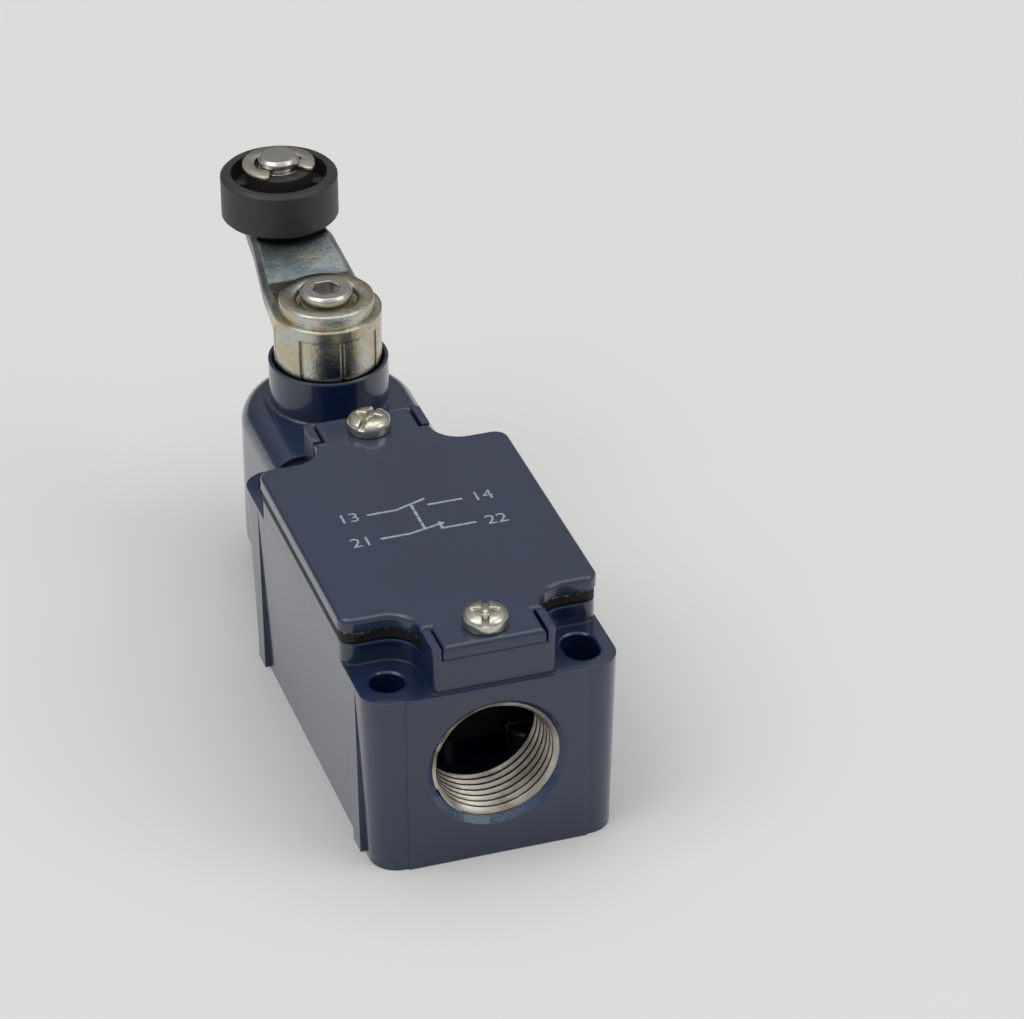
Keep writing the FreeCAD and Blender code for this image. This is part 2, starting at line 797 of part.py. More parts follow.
def add_floor_seats(piece):
    """Bosses and rails that carry the contact block, and the boss of the earth screw."""
    bosses = [circle_at(x, y, S.boss_radius) for x, y in BLOCK_SCREW_PLACES.values()]
    for boss in bosses:
        piece.pad(S.floor_thickness, S.block_seat, boss)
    for side in (-1, 1):
        middle = side * S.rail_half
        piece.pad(S.floor_thickness, S.block_seat, box(
            middle - S.rail_width / 2, middle + S.rail_width / 2, S.rail_short - S.block_near, BLOCK_FAR - S.rail_short))
    piece.pad(S.floor_thickness, S.earth_boss_height,
              circle_at(EARTH_ACROSS, -EARTH_ALONG, S.earth_boss_radius))
    for x, y in BLOCK_SCREW_PLACES.values():
        piece.pocket(BLOCK_BOTTOM, S.block_screw_bite + S.drill_point,
                     circle_at(x, y, S.block_screw_thread / 2 + S.thread_play))
    piece.pocket(S.floor_thickness + S.earth_boss_height, S.earth_screw_length,
                 circle_at(EARTH_ACROSS, -EARTH_ALONG, S.terminal_thread / 2 + S.thread_play))


def cut_fixings(piece):
    """Three round fixing holes and, near right, a slot, each with a broken rim."""
    for x, y in FIXING_PLACES:
        if x.number < 0 or y.number > 0:
            loop = circle_at(x, y, S.fixing_width / 2)
        else:
            loop = slot_at(x, y, S.fixing_width / 2, S.fixing_slot_length / 2)
        piece.pocket(S.lug_top, S.lug_top, loop)
    level = on_level(S.lug_top)
    reach = S.fixing_slot_length.number / 2 + 0.1
    piece.dress("Chamfer", S.fixing_rim, lambda edge: level(edge) and any(
        near_place(edge, x.number, y.number, reach) for x, y in FIXING_PLACES))


def cut_cable_entry(piece):
    """The round entry through the near wall, with a wide bevelled mouth."""
    piece.pocket(-NEAR_FACE, NEAR_FACE - CAVITY_NEAR,
                 circle_at(0, S.entry_level, S.entry_radius), role="XZ_Plane")
    relief = NEAR_FACE - CAVITY_NEAR - S.entry_thread_length - S.entry_mouth_radius + S.entry_radius
    piece.pocket(-CAVITY_NEAR, relief, circle_at(0, S.entry_level, S.entry_relief_radius),
                 role="XZ_Plane", reverse=True)
    face = -NEAR_FACE.number
    piece.dress("Chamfer", S.entry_mouth_radius - S.entry_radius, lambda edge: (
        abs(edge.BoundBox.YMin - face) < 1e-4 and abs(edge.BoundBox.YMax - face) < 1e-4
        and edge.Curve.TypeId == "Part::GeomCircle"))


def cut_far_wall(piece):
    """Room for the plunger's spring, its rod and the head's screws."""
    thickness = FAR_LENGTH - CAVITY_FAR
    piece.pocket(FAR_LENGTH, FAR_LENGTH - SPRING_SEAT,
                 circle_at(0, S.plunger_level, S.spring_room_radius),
                 role="XZ_Plane", reverse=True)
    piece.pocket(FAR_LENGTH, thickness,
                 circle_at(0, S.plunger_level, S.plunger_rod_radius + S.running_play),
                 role="XZ_Plane", reverse=True)
    for x, z in HEAD_SCREW_PLACES.values():
        piece.pocket(FAR_LENGTH, thickness,
                     circle_at(x, z, S.head_screw_thread / 2 + S.screw_hole_play),
                     role="XZ_Plane", reverse=True)
        piece.pocket(CAVITY_FAR, S.head_screw_sink, circle_at(x, z, S.head_screw_room),
                     role="XZ_Plane")


# Lid, its gasket and screws
def make_lid():
    piece = Piece("lid")
    piece.pad(LID_SEAT, S.lid_thickness, outline(*waisted(
        LID_HALF, LID_BODY, S.lid_neck_half, LID_NECK, S.lid_tab_half, LID_TAB)))
    piece.dress("Fillet", S.lid_edge, on_level(LID_TOP))
    inset = S.lid_rim_clearance
    piece.pad(LID_SEAT, S.lid_rim_depth, cavity_loop(inset),
              cavity_loop(inset + S.lid_rim_width), reverse=True)
    for y in LID_SCREW_PLACES.values():
        piece.pocket(LID_TOP, S.lid_thickness,
                     circle_at(0, y, S.lid_screw_thread / 2 + S.screw_hole_play))


def make_lid_gasket():
    piece = Piece("lid_gasket")
    inset = S.gasket_inset
    piece.pad(S.wall_top, S.gasket_thickness, outline(*waisted(
        LID_HALF - inset, LID_BODY - inset, S.lid_neck_half - inset, LID_NECK)),
        cavity_loop())
    for y in LID_SCREW_PLACES.values():
        piece.pocket(LID_SEAT, S.gasket_thickness,
                     circle_at(0, y, S.lid_screw_thread / 2 + S.screw_hole_play))


def make_lid_screws():
    for end, y in LID_SCREW_PLACES.items():
        fastener("lid_screw_" + end, (0, y, LID_TOP), S.lid_screw_thread, S.lid_screw_head,
                 S.lid_screw_head_height, S.lid_screw_length)


# Head with its bearing, seal and gasket
def draw_tongue(sketch):
    """The head's plan: a square front and a half-round back about the shaft."""
    half = S.head_half
    front = HEAD_FRONT - SHAFT_REACH
    points = [(half, 0), (-half, 0), (-half, front), (half, front)]
    back = sketch.addGeometry(Part.ArcOfCircle(
        Part.Circle(FreeCAD.Vector(0, 0, 0), FreeCAD.Vector(0, 0, 1), half.number), 0, math.pi))
    sides = []
    for start, end in zip(points[1:], points[2:] + points[:1]):
        line = sketch.addGeometry(Part.LineSegment(vector(*start), vector(*end)))
        set_point(sketch, line, 1, *start)
        sides.append(line)
    set_point(sketch, sides[-1], 2, *points[0])
    set_height(sketch, back, 0)
    links = [(back, 2, sides[0], 1), (sides[0], 2, sides[1], 1),
             (sides[1], 2, sides[2], 1), (sides[2], 2, back, 1)]
    for link in links:
        sketch.addConstraint(Sketcher.Constraint("Coincident", *link))


def make_head_body():
    piece = Piece("head_body", (0, SHAFT_REACH, 0))
    front = HEAD_FRONT - SHAFT_REACH
    piece.pad(S.head_bottom, S.head_top - S.head_bottom, draw_tongue)
    low = on_level(S.head_bottom)
    high = on_level(S.head_top)
    piece.dress("Fillet", S.head_edge, lambda edge: (
        (low(edge) or high(edge)) and edge.BoundBox.YMax > front.number + 1e-3))
    piece.pad(S.head_top, S.collar_top - S.head_top, circle_at(0, 0, S.collar_radius))
    collar = S.collar_radius.number
    piece.dress("Fillet", S.collar_fillet, lambda edge: (
        high(edge) and abs(edge.BoundBox.XMax - collar) < 1e-4))
    piece.turned(
        (0, S.journal_bottom), (S.journal_radius + S.running_play, S.journal_bottom),
        (S.journal_radius + S.running_play, S.cam_room_bottom),
        (S.cam_room_radius, S.cam_room_bottom), (S.cam_room_radius, S.cam_room_top),
        (BUSH_RADIUS, S.cam_room_top), (BUSH_RADIUS, SEAL_TOP),
        (S.collar_recess_radius, SEAL_TOP), (S.collar_recess_radius, S.collar_top),
        (0, S.collar_top), cut=True)
    piece.pocket(front, SHAFT_REACH - HEAD_FRONT - S.cam_room_radius / 2,
                 circle_at(0, S.plunger_level, PASSAGE_RADIUS), role="XZ_Plane")
    for x, z in HEAD_SCREW_PLACES.values():
        piece.pocket(front, S.head_screw_bite + S.drill_point,
                     circle_at(x, z, S.head_screw_thread / 2 + S.thread_play), role="XZ_Plane")


def make_head_gasket():
    piece = Piece("head_gasket")
    margin = S.gasket_margin
    piece.pad(HEAD_FRONT, S.head_gasket_thickness, box(
        margin - S.head_half, S.head_half - margin, S.head_bottom + margin, S.head_top - margin,
        S.gasket_corner), circle_at(0, S.plunger_level, PASSAGE_RADIUS),
        *[circle_at(x, z, S.head_screw_thread / 2 + S.screw_hole_play)
          for x, z in HEAD_SCREW_PLACES.values()], role="XZ_Plane")


def make_head_screws():
    for corner, (x, z) in HEAD_SCREW_PLACES.items():
        fastener("head_screw_" + corner, (x, HEAD_SCREW_SEAT, z), S.head_screw_thread,
                 S.head_screw_head, S.head_screw_head_height,
                 HEAD_FRONT - HEAD_SCREW_SEAT + S.head_screw_bite, AGAINST_Y)


def make_shaft_bearing():
    shaft_axis = (0, SHAFT_REACH, 0)
    inner = S.shaft_radius + S.running_play
    ring("shaft_bush", shaft_axis, BUSH_BOTTOM, S.bush_length,
         BUSH_RADIUS - S.seated_play, inner)
    ring("shaft_seal", shaft_axis, BUSH_TOP, S.seal_height, BUSH_RADIUS - S.seated_play, inner)


# Shaft, cam and retaining ring
def make_shaft():
    piece = Piece("shaft", (0, SHAFT_REACH, 0))
    bottom = S.journal_bottom + S.axial_play
    shoulder = S.cam_room_bottom + S.axial_play
    groove_low = RING_TOP - S.ring_thickness
    groove = S.shaft_radius - S.ring_groove_depth
    screw = S.clamp_thread / 2 + S.thread_play
    hole_bottom = S.shaft_top - S.clamp_length
    piece.turned(
        (0, bottom), (S.journal_radius, bottom), (S.journal_radius, shoulder),
        (S.shaft_radius, shoulder), (S.shaft_radius, groove_low), (groove, groove_low),
        (groove, RING_TOP), (S.shaft_radius, RING_TOP),
        (S.shaft_radius, S.shaft_top - S.hub_chamfer), (S.shaft_radius - S.hub_chamfer, S.shaft_top),
        (screw, S.shaft_top), (screw, hole_bottom), (0, hole_bottom))
    drill_pin_hole(piece)


def drill_pin_hole(piece):
    piece.pocket(0, S.cam_radius * 2, circle_at(0, S.plunger_level, S.pin_radius + S.seated_play),
                 role="YZ_Plane", both=True)


def make_cam():
    piece = Piece("cam", (0, SHAFT_REACH, 0))
    bottom = S.plunger_level - S.cam_height / 2
    top = S.plunger_level + S.cam_height / 2
    piece.pad(bottom, S.cam_height, circle_at(0, 0, S.cam_radius),
              circle_at(0, 0, S.shaft_radius + S.seated_play))
    piece.pocket(top, S.cam_height, box(
        -S.cam_radius, S.cam_radius, -S.cam_radius * 2, -S.cam_flat))
    drill_pin_hole(piece)
    pin = Piece("cam_pin", (0, SHAFT_REACH, 0))
    pin.pad(0, (S.cam_radius - S.pin_inset) * 2, circle_at(0, S.plunger_level, S.pin_radius),
            role="YZ_Plane", both=True)


def make_shaft_ring():
    piece = Piece("shaft_ring", (0, SHAFT_REACH, 0))
    inner = S.shaft_radius - S.ring_groove_depth + S.seated_play
    piece.pad(RING_TOP - S.ring_thickness, S.ring_thickness,
              circle_at(0, 0, S.ring_radius), circle_at(0, 0, inner))
    piece.pocket(RING_TOP, S.ring_thickness, box(
        -S.ring_mouth / 2, S.ring_mouth / 2, -S.ring_radius * 2, 0))


# Plunger, its guide and spring
def make_plunger():
    piece = Piece("plunger", (0, NOSE, S.plunger_level), ALONG_Y)
    rod_end = PLUNGER_ROD_END - NOSE
    piece.turned(
        (0, rod_end), (S.plunger_rod_radius, rod_end), (S.plunger_rod_radius, -S.plunger_head),
        (S.plunger_radius, -S.plunger_head), (S.plunger_radius, -S.plunger_dome),
        (S.plunger_radius - S.plunger_dome, 0), (0, 0))
    ring("plunger_guide", (0, HEAD_FRONT, S.plunger_level), 0, GUIDE_LENGTH,
         PASSAGE_RADIUS - S.seated_play, S.plunger_radius + S.running_play, ALONG_Y)
    coil("plunger_spring", (0, SPRING_SEAT, S.plunger_level),
         PLUNGER_BACK - SPRING_SEAT - S.spring_end_gap,
         S.spring_radius, S.spring_wire, S.spring_pitch, ALONG_Y)


# Lever
def draw_tapered(sketch):
    """The lever's plan: a large round root and a smaller round end, joined by tangents."""
    root = S.arm_root_half
    end = S.arm_end_radius
    reach = S.lever_length
    sine = (root - end) / reach
    cosine = Size(math.sqrt(1 - sine.number ** 2), "sqrt(1 - %s ^ 2)" % sine.formula)
    points = [(end * cosine, reach + end * sine), (-end * cosine, reach + end * sine),
              (-root * cosine, root * sine), (root * cosine, root * sine)]
    normal = FreeCAD.Vector(0, 0, 1)
    lean = math.asin(sine.number)
    tip = sketch.addGeometry(Part.ArcOfCircle(
        Part.Circle(vector(0, reach), normal, end.number), lean, math.pi - lean))
    heel = sketch.addGeometry(Part.ArcOfCircle(
        Part.Circle(vector(0, 0), normal, root.number), math.pi - lean, 2 * math.pi + lean))
    left = sketch.addGeometry(Part.LineSegment(vector(*points[1]), vector(*points[2])))
    right = sketch.addGeometry(Part.LineSegment(vector(*points[3]), vector(*points[0])))
    set_point(sketch, left, 1, *points[1])
    set_point(sketch, left, 2, *points[2])
    set_point(sketch, right, 1, *points[3])
    set_point(sketch, right, 2, *points[0])
    set_radius(sketch, tip, end)
    set_radius(sketch, heel, root)
    for link in ((tip, 2, left, 1), (left, 2, heel, 1), (heel, 2, right, 1), (right, 2, tip, 1)):
        sketch.addConstraint(Sketcher.Constraint("Coincident", *link))


def arm_top(y):
    """Height of the arm's upper face at a distance from the shaft."""
    start, end = S.arm_bend_start.number, S.arm_bend_end.number
    share = min(max((y - start) / (end - start), 0), 1)
    return S.hub_top.number + share * S.arm_rise.number


def on_arm_rim(edge):
    """Whether an edge runs along the rim of the arm's upper face."""
    if edge.BoundBox.YLength < 1e-4:
        return False
    ends = (edge.valueAt(edge.FirstParameter), edge.valueAt(edge.LastParameter))
    return all(abs(point.z - arm_top(point.y)) < 1e-4 for point in ends)


def make_lever_arm():
    piece = Piece("lever_arm", (0, SHAFT_REACH, 0))
    end = S.lever_length + S.arm_end_radius
    low = S.hub_top - S.arm_thickness
    piece.pad(0, S.arm_root_half * 2, polygon(
        (0, low), (S.arm_bend_start, low), (S.arm_bend_end, low + S.arm_rise),
        (end, low + S.arm_rise), (end, ARM_END_TOP), (S.arm_bend_end, ARM_END_TOP),
        (S.arm_bend_start, S.hub_top), (0, S.hub_top)), role="YZ_Plane", both=True)
    margin = S.hub_radius * 2
    piece.pocket(ARM_END_TOP, ARM_END_TOP - S.hub_bottom, box(
        -margin, margin, -margin, end + margin), draw_tapered)
    piece.dress("Chamfer", S.arm_edge, on_arm_rim)
    piece.pad(S.hub_bottom, S.hub_groove_top - S.hub_bottom,
              circle_at(0, 0, S.hub_radius - S.hub_step))
    piece.pad(S.hub_groove_top, S.hub_top - S.hub_groove_top, circle_at(0, 0, S.hub_radius))
    piece.turned(
        (0, S.hub_bottom), (S.shaft_radius + S.seated_play, S.hub_bottom),
        (S.shaft_radius + S.seated_play, S.shaft_top),
        (S.disc_spigot_radius + S.seated_play, S.shaft_top),
        (S.disc_spigot_radius + S.seated_play, S.hub_top), (0, S.hub_top), cut=True)
    piece.pocket(ARM_END_TOP, S.arm_thickness,
                 circle_at(0, S.lever_length, S.roller_pin_spigot))
    groove = piece.pocket(S.hub_groove_top, S.hub_groove_top - S.hub_bottom, box(
        -S.hub_groove_width / 2, S.hub_groove_width / 2,
        -S.hub_radius - S.hub_groove_depth, S.hub_step + S.hub_groove_depth - S.hub_radius))
    piece.repeat_round(groove, S.hub_grooves)


def make_serrated_disc():
    piece = Piece("serrated_disc", (0, SHAFT_REACH, S.hub_top))
    hole = S.clamp_thread / 2 + S.screw_hole_play
    bottom = -S.disc_spigot_depth
    web_top = S.disc_web - S.disc_spigot_depth
    piece.turned(
        (hole, bottom), (S.disc_spigot_radius, bottom), (S.disc_spigot_radius, 0),
        (S.disc_radius, 0), (S.disc_radius, S.disc_height - S.disc_chamfer),
        (S.disc_radius - S.disc_chamfer, S.disc_height), (S.disc_bore_radius, S.disc_height),
        (S.disc_bore_radius, web_top), (hole, web_top))
    half = S.disc_bore_radius * (math.pi / 2) / S.serrations
    notch = piece.pocket(S.disc_height, S.disc_height, polygon(
        (-half, S.disc_bore_radius - S.serration_depth), (half, S.disc_bore_radius - S.serration_depth),
        (half / 4, S.disc_bore_radius + S.serration_depth),
        (-half / 4, S.disc_bore_radius + S.serration_depth)))
    piece.repeat_round(notch, S.serrations)


def make_clamp_screw():
    seat = S.hub_top - S.disc_spigot_depth + S.disc_web
    piece = Piece("clamp_screw", (0, SHAFT_REACH, seat))
    shank = S.clamp_thread / 2
    rim = S.clamp_head / 2
    top = S.clamp_head_height
    length = S.clamp_length - S.drill_point
    piece.turned(
        (0, -length), (shank - S.screw_tip, -length), (shank, S.screw_tip - length), (shank, 0),
        (rim, 0), (rim, top - S.screw_edge), (rim - S.screw_edge, top), (0, top))
    corner = S.clamp_socket / math.sqrt(3)
    hexagon = []
    for step in range(6):
        angle = math.radians(60 * step)
        hexagon.append((corner * round(math.cos(angle), 9), corner * round(math.sin(angle), 9)))
    piece.pocket(top, S.clamp_socket_depth, polygon(*hexagon))


# Roller, pin and clip
def make_roller_pin():
    piece = Piece("roller_pin", (0, ROLLER_REACH, ARM_END_TOP))
    under = -S.arm_thickness
    base = under - S.rivet_height
    groove_low = HUB_HIGH - ARM_END_TOP
    groove_high = CLIP_LOW + S.clip_thickness + S.clip_play - ARM_END_TOP
    tip = groove_high + S.roller_pin_tip
    edge = S.roller_pin_chamfer
    piece.turned(
        (0, base), (S.rivet_radius - edge, base), (S.rivet_radius, base + edge),
        (S.rivet_radius, under), (S.roller_pin_spigot, under), (S.roller_pin_spigot, 0),
        (S.roller_pin_radius, 0), (S.roller_pin_radius, groove_low),
        (S.clip_groove_radius, groove_low), (S.clip_groove_radius, groove_high),
        (S.roller_pin_radius, groove_high), (S.roller_pin_radius, tip - edge),
        (S.roller_pin_radius - edge, tip), (0, tip))


def make_retaining_clip():
    turn = FreeCAD.Rotation(FreeCAD.Vector(0, 0, 1), S.clip_turn.number)
    piece = Piece("retaining_clip", (0, ROLLER_REACH, CLIP_LOW), turn)
    piece.pad(0, S.clip_thickness, circle_at(0, 0, S.clip_radius), circle_at(0, 0, S.clip_inner))
    inner = S.clip_groove_radius + S.seated_play
    half = S.clip_prong / 2
    reach = S.clip_inner + half
    for prong in (box(-half, half, inner, reach), box(inner, reach, -half, half),
                  box(-reach, -inner, -half, half)):
        piece.pad(0, S.clip_thickness, prong)
    piece.pocket(S.clip_thickness, S.clip_thickness, box(
        -S.clip_mouth / 2, S.clip_mouth / 2, -S.clip_radius * 2, -half))


def make_roller():
    piece = Piece("roller", (0, ROLLER_REACH, 0))
    bore = S.roller_pin_radius + S.running_play
    rim = S.roller_radius - S.roller_rim
    edge = S.roller_edge
    middle = (RIM_LOW + RIM_HIGH) / 2
    web_low = middle - S.roller_web / 2
    web_high = middle + S.roller_web / 2
    piece.turned(
        (bore, HUB_LOW), (S.roller_hub_radius, HUB_LOW), (S.roller_hub_radius, web_low),
        (rim, web_low), (rim, RIM_LOW), (S.roller_radius - edge, RIM_LOW),
        (S.roller_radius, RIM_LOW + edge), (S.roller_radius, RIM_HIGH - edge),
        (S.roller_radius - edge, RIM_HIGH), (rim, RIM_HIGH), (rim, web_high),
        (S.roller_hub_radius, web_high), (S.roller_hub_radius, HUB_HIGH), (bore, HUB_HIGH))
    height = S.roller_width - S.roller_spoke_drop * 2
    half = S.roller_spoke_width / 2
    turn = math.radians(S.roller_spoke_turn.number)
    corners = []
    for along, across in ((S.roller_hub_radius - half, -half), (rim + half, -half),
                          (rim + half, half), (S.roller_hub_radius - half, half)):
        corners.append((along * math.cos(turn) - across * math.sin(turn),
                        along * math.sin(turn) + across * math.cos(turn)))
    spoke = piece.pad(RIM_LOW + S.roller_spoke_drop, height, polygon(*corners))
    piece.repeat_round(spoke, S.roller_spokes)


# Contact block
def make_contact_base():
    piece = Piece("contact_base")
    piece.pad(BLOCK_BOTTOM, S.block_height, box(
        -BLOCK_HALF, BLOCK_HALF, -S.block_near, BLOCK_FAR, S.block_corner))
    floor = S.carrier_bottom - S.plunger_gap
    piece.pocket(BLOCK_TOP, BLOCK_TOP - floor, box(
        -POCKET_HALF, POCKET_HALF, -S.pocket_near, S.pocket_far))
    piece.pocket(BLOCK_FAR, BLOCK_FAR - S.pocket_far,
                 circle_at(0, S.carrier_level, S.carrier_rod_radius + S.running_play),
                 role="XZ_Plane", reverse=True)
    for x, y in TERMINAL_PLACES.values():
        piece.pocket(BLOCK_TOP, S.terminal_length,
                     circle_at(x, y, S.terminal_thread / 2 + S.thread_play))
    for x, y in BLOCK_SCREW_PLACES.values():
        piece.pocket(BLOCK_TOP, S.block_height,
                     circle_at(x, y, S.block_screw_thread / 2 + S.screw_hole_play))


def make_contact_cover():
    piece = Piece("contact_cover")
    half = POCKET_HALF + S.cover_overlap
    gap = S.strip_thickness + S.side_play
    piece.pad(BLOCK_TOP, S.cover_height, box(-half, half, gap - S.pocket_near, S.pocket_far - gap))
    piece.pad(BLOCK_TOP, BLOCK_TOP - S.carrier_top - S.plunger_gap, box(
        -S.cover_keeper, S.cover_keeper, gap * 2 - S.pocket_near, S.pocket_far - gap * 2),
        reverse=True)


def make_fixed_contacts():
    """A folded strip for each terminal, with its contact button."""
    for place, (x, y) in TERMINAL_PLACES.items():
        side = 1 if x.number > 0 else -1
        end = 1 if y.number > 0 else -1
        wall = S.pocket_far if end > 0 else -S.pocket_near
        inner = wall - S.strip_thickness * end
        tip = wall + S.strip_length * end
        low, high = sorted((STRIP_INNER * side, STRIP_OUTER * side), key=lambda size: size.number)
        piece = Piece("fixed_contact_" + place)
        near, far = (inner, wall) if end > 0 else (wall, inner)
        piece.pad(S.strip_bottom, LEAF_TOP - S.strip_bottom, box(low, high, near, far))
        near, far = (inner, tip) if end > 0 else (tip, inner)
        piece.pad(BLOCK_TOP, S.strip_thickness, box(low, high, near, far))
        piece.pocket(LEAF_TOP, S.strip_thickness,
                     circle_at(x, y, S.terminal_thread / 2 + S.screw_hole_play))
        piece.pad(inner, S.button_height,
                  circle_at(BUTTON_REACH * side, S.carrier_level, S.button_radius),
                  role="XZ_Plane", reverse=end < 0)


def make_terminals():
    hole = S.terminal_thread / 2 + S.screw_hole_play
    half = S.clamp_plate_half
    for place, (x, y) in TERMINAL_PLACES.items():
        plate = Piece("clamp_plate_" + place, (x, y, LEAF_TOP))
        plate.pad(0, S.clamp_plate_thickness, box(-half, half, -half, half),
                  circle_at(0, 0, hole))
        fastener("terminal_screw_" + place, (x, y, LEAF_TOP + S.clamp_plate_thickness),
                 S.terminal_thread, S.terminal_head, S.terminal_head_height, S.terminal_length)


def make_block_screws():
    for place, (x, y) in BLOCK_SCREW_PLACES.items():
        fastener("block_screw_" + place, (x, y, BLOCK_TOP), S.block_screw_thread,
                 S.block_screw_head, S.block_screw_head_height,
                 S.block_height + S.block_screw_bite)


def make_earth_terminal():
    seat = S.floor_thickness + S.earth_boss_height
    half = S.earth_plate_half
    plate = Piece("earth_plate", (EARTH_ACROSS, -EARTH_ALONG, seat))
    plate.pad(0, S.clamp_plate_thickness, box(-half, half, -half, half),
              circle_at(0, 0, S.terminal_thread / 2 + S.screw_hole_play))
    fastener("earth_screw", (EARTH_ACROSS, -EARTH_ALONG, seat + S.clamp_plate_thickness),
             S.terminal_thread, S.terminal_head, S.terminal_head_height, S.earth_screw_length)


def make_contact_carrier():
    piece = Piece("contact_carrier")
    piece.pad(S.carrier_bottom, S.carrier_top - S.carrier_bottom, box(
        -S.carrier_half, S.carrier_half, -S.carrier_near, S.carrier_far))
    rod_end = PLUNGER_ROD_END - S.plunger_gap
    piece.pad(rod_end, rod_end - S.carrier_far + S.strip_thickness,
              circle_at(0, S.carrier_level, S.carrier_rod_radius), role="XZ_Plane")
    depth = S.bridge_thickness + S.window_depth
    top = S.bridge_bottom + S.bridge_height
    windows = {"open": (-S.bridge_open, depth - S.bridge_open),
               "closed": (S.bridge_closed - depth, S.bridge_closed)}
    for near, far in windows.values():
        piece.pocket(0, S.carrier_half * 2, box(near, far, S.bridge_bottom, top),
                     role="YZ_Plane", both=True)
    blades = {"open": -S.bridge_open, "closed": S.bridge_closed - S.bridge_thickness}
    springs = {"open": S.bridge_thickness - S.bridge_open, "closed": S.bridge_closed - depth}
    middle = S.bridge_bottom + S.bridge_height / 2
    for state, near in blades.items():
        blade = Piece("bridge_" + state)
        blade.pad(S.bridge_bottom, S.bridge_height, box(
            -BRIDGE_HALF, BRIDGE_HALF, near, near + S.bridge_thickness))
        coil("contact_spring_" + state, (0, springs[state], middle), S.window_depth,
             S.contact_spring_radius, S.contact_spring_wire, S.contact_spring_pitch, ALONG_Y)


def check_and_export():
    """Every object must be sound before its shape is written."""
    DOC.recompute()
    for thing in DOC.Objects:
        if "Invalid" in thing.State or "Error" in thing.State:
            raise ValueError("%s failed: %s" % (thing.Label, thing.State))
    os.makedirs("parts", exist_ok=True)
    for body in PIECES:
        shape = body.Shape
        if shape.isNull() or not shape.isValid() or len(shape.Solids) != 1:
            raise ValueError("no single sound solid: " + body.Label)
        shape.exportStep(os.path.join("parts", body.Label + ".step"))


make_housing()
make_lid()
make_lid_gasket()
make_lid_screws()
make_head_body()
make_head_gasket()
make_head_screws()
make_shaft_bearing()
make_shaft()
make_cam()
make_shaft_ring()
make_plunger()
make_lever_arm()
make_serrated_disc()
make_clamp_screw()
make_roller_pin()
make_retaining_clip()
make_roller()
make_contact_base()
make_contact_cover()
make_fixed_contacts()
make_terminals()
make_block_screws()
make_earth_terminal()
make_contact_carrier()
check_and_export()
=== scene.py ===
"""Looks of a rotary lever limit switch, dressed around its packed construction model."""

import json
import logging
import math
from collections.abc import Sequence
from dataclasses import dataclass
from enum import Enum

import bpy
from mathutils import Matrix, Vector


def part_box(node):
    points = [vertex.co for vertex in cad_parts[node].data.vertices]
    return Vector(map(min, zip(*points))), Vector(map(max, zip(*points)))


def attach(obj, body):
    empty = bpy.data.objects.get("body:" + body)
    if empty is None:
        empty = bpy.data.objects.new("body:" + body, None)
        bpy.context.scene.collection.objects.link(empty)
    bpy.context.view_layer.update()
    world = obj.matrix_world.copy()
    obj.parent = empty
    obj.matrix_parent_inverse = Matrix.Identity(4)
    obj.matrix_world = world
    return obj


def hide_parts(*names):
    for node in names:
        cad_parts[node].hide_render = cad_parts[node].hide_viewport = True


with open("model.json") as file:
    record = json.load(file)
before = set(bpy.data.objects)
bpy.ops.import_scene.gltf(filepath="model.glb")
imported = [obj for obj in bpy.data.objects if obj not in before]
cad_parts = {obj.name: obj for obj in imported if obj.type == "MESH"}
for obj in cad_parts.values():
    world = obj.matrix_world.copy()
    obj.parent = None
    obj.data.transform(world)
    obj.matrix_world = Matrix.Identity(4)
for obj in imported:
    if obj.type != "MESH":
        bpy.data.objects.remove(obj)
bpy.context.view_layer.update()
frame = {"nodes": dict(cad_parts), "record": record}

LOG = logging.getLogger("limit_switch")
MILLIMETRE = 0.001
Colour = tuple[float, float, float]
Point = tuple[float, float, float]


class Slot(Enum):
    """The record's material slots."""

    ENAMEL = "enamel"
    FOAM = "gasket_foam"
    SCREW = "zinc_screw"
    CHROMATE = "chromate"
    TURNED = "turned_steel"
    ROLLER = "roller_plastic"
    BLOCK = "block_plastic"
    GUIDE = "clear_plastic"
    BRASS = "brass"
    SPRING = "spring_steel"
    BRONZE = "bearing_bronze"
    SEAL = "seal_rubber"


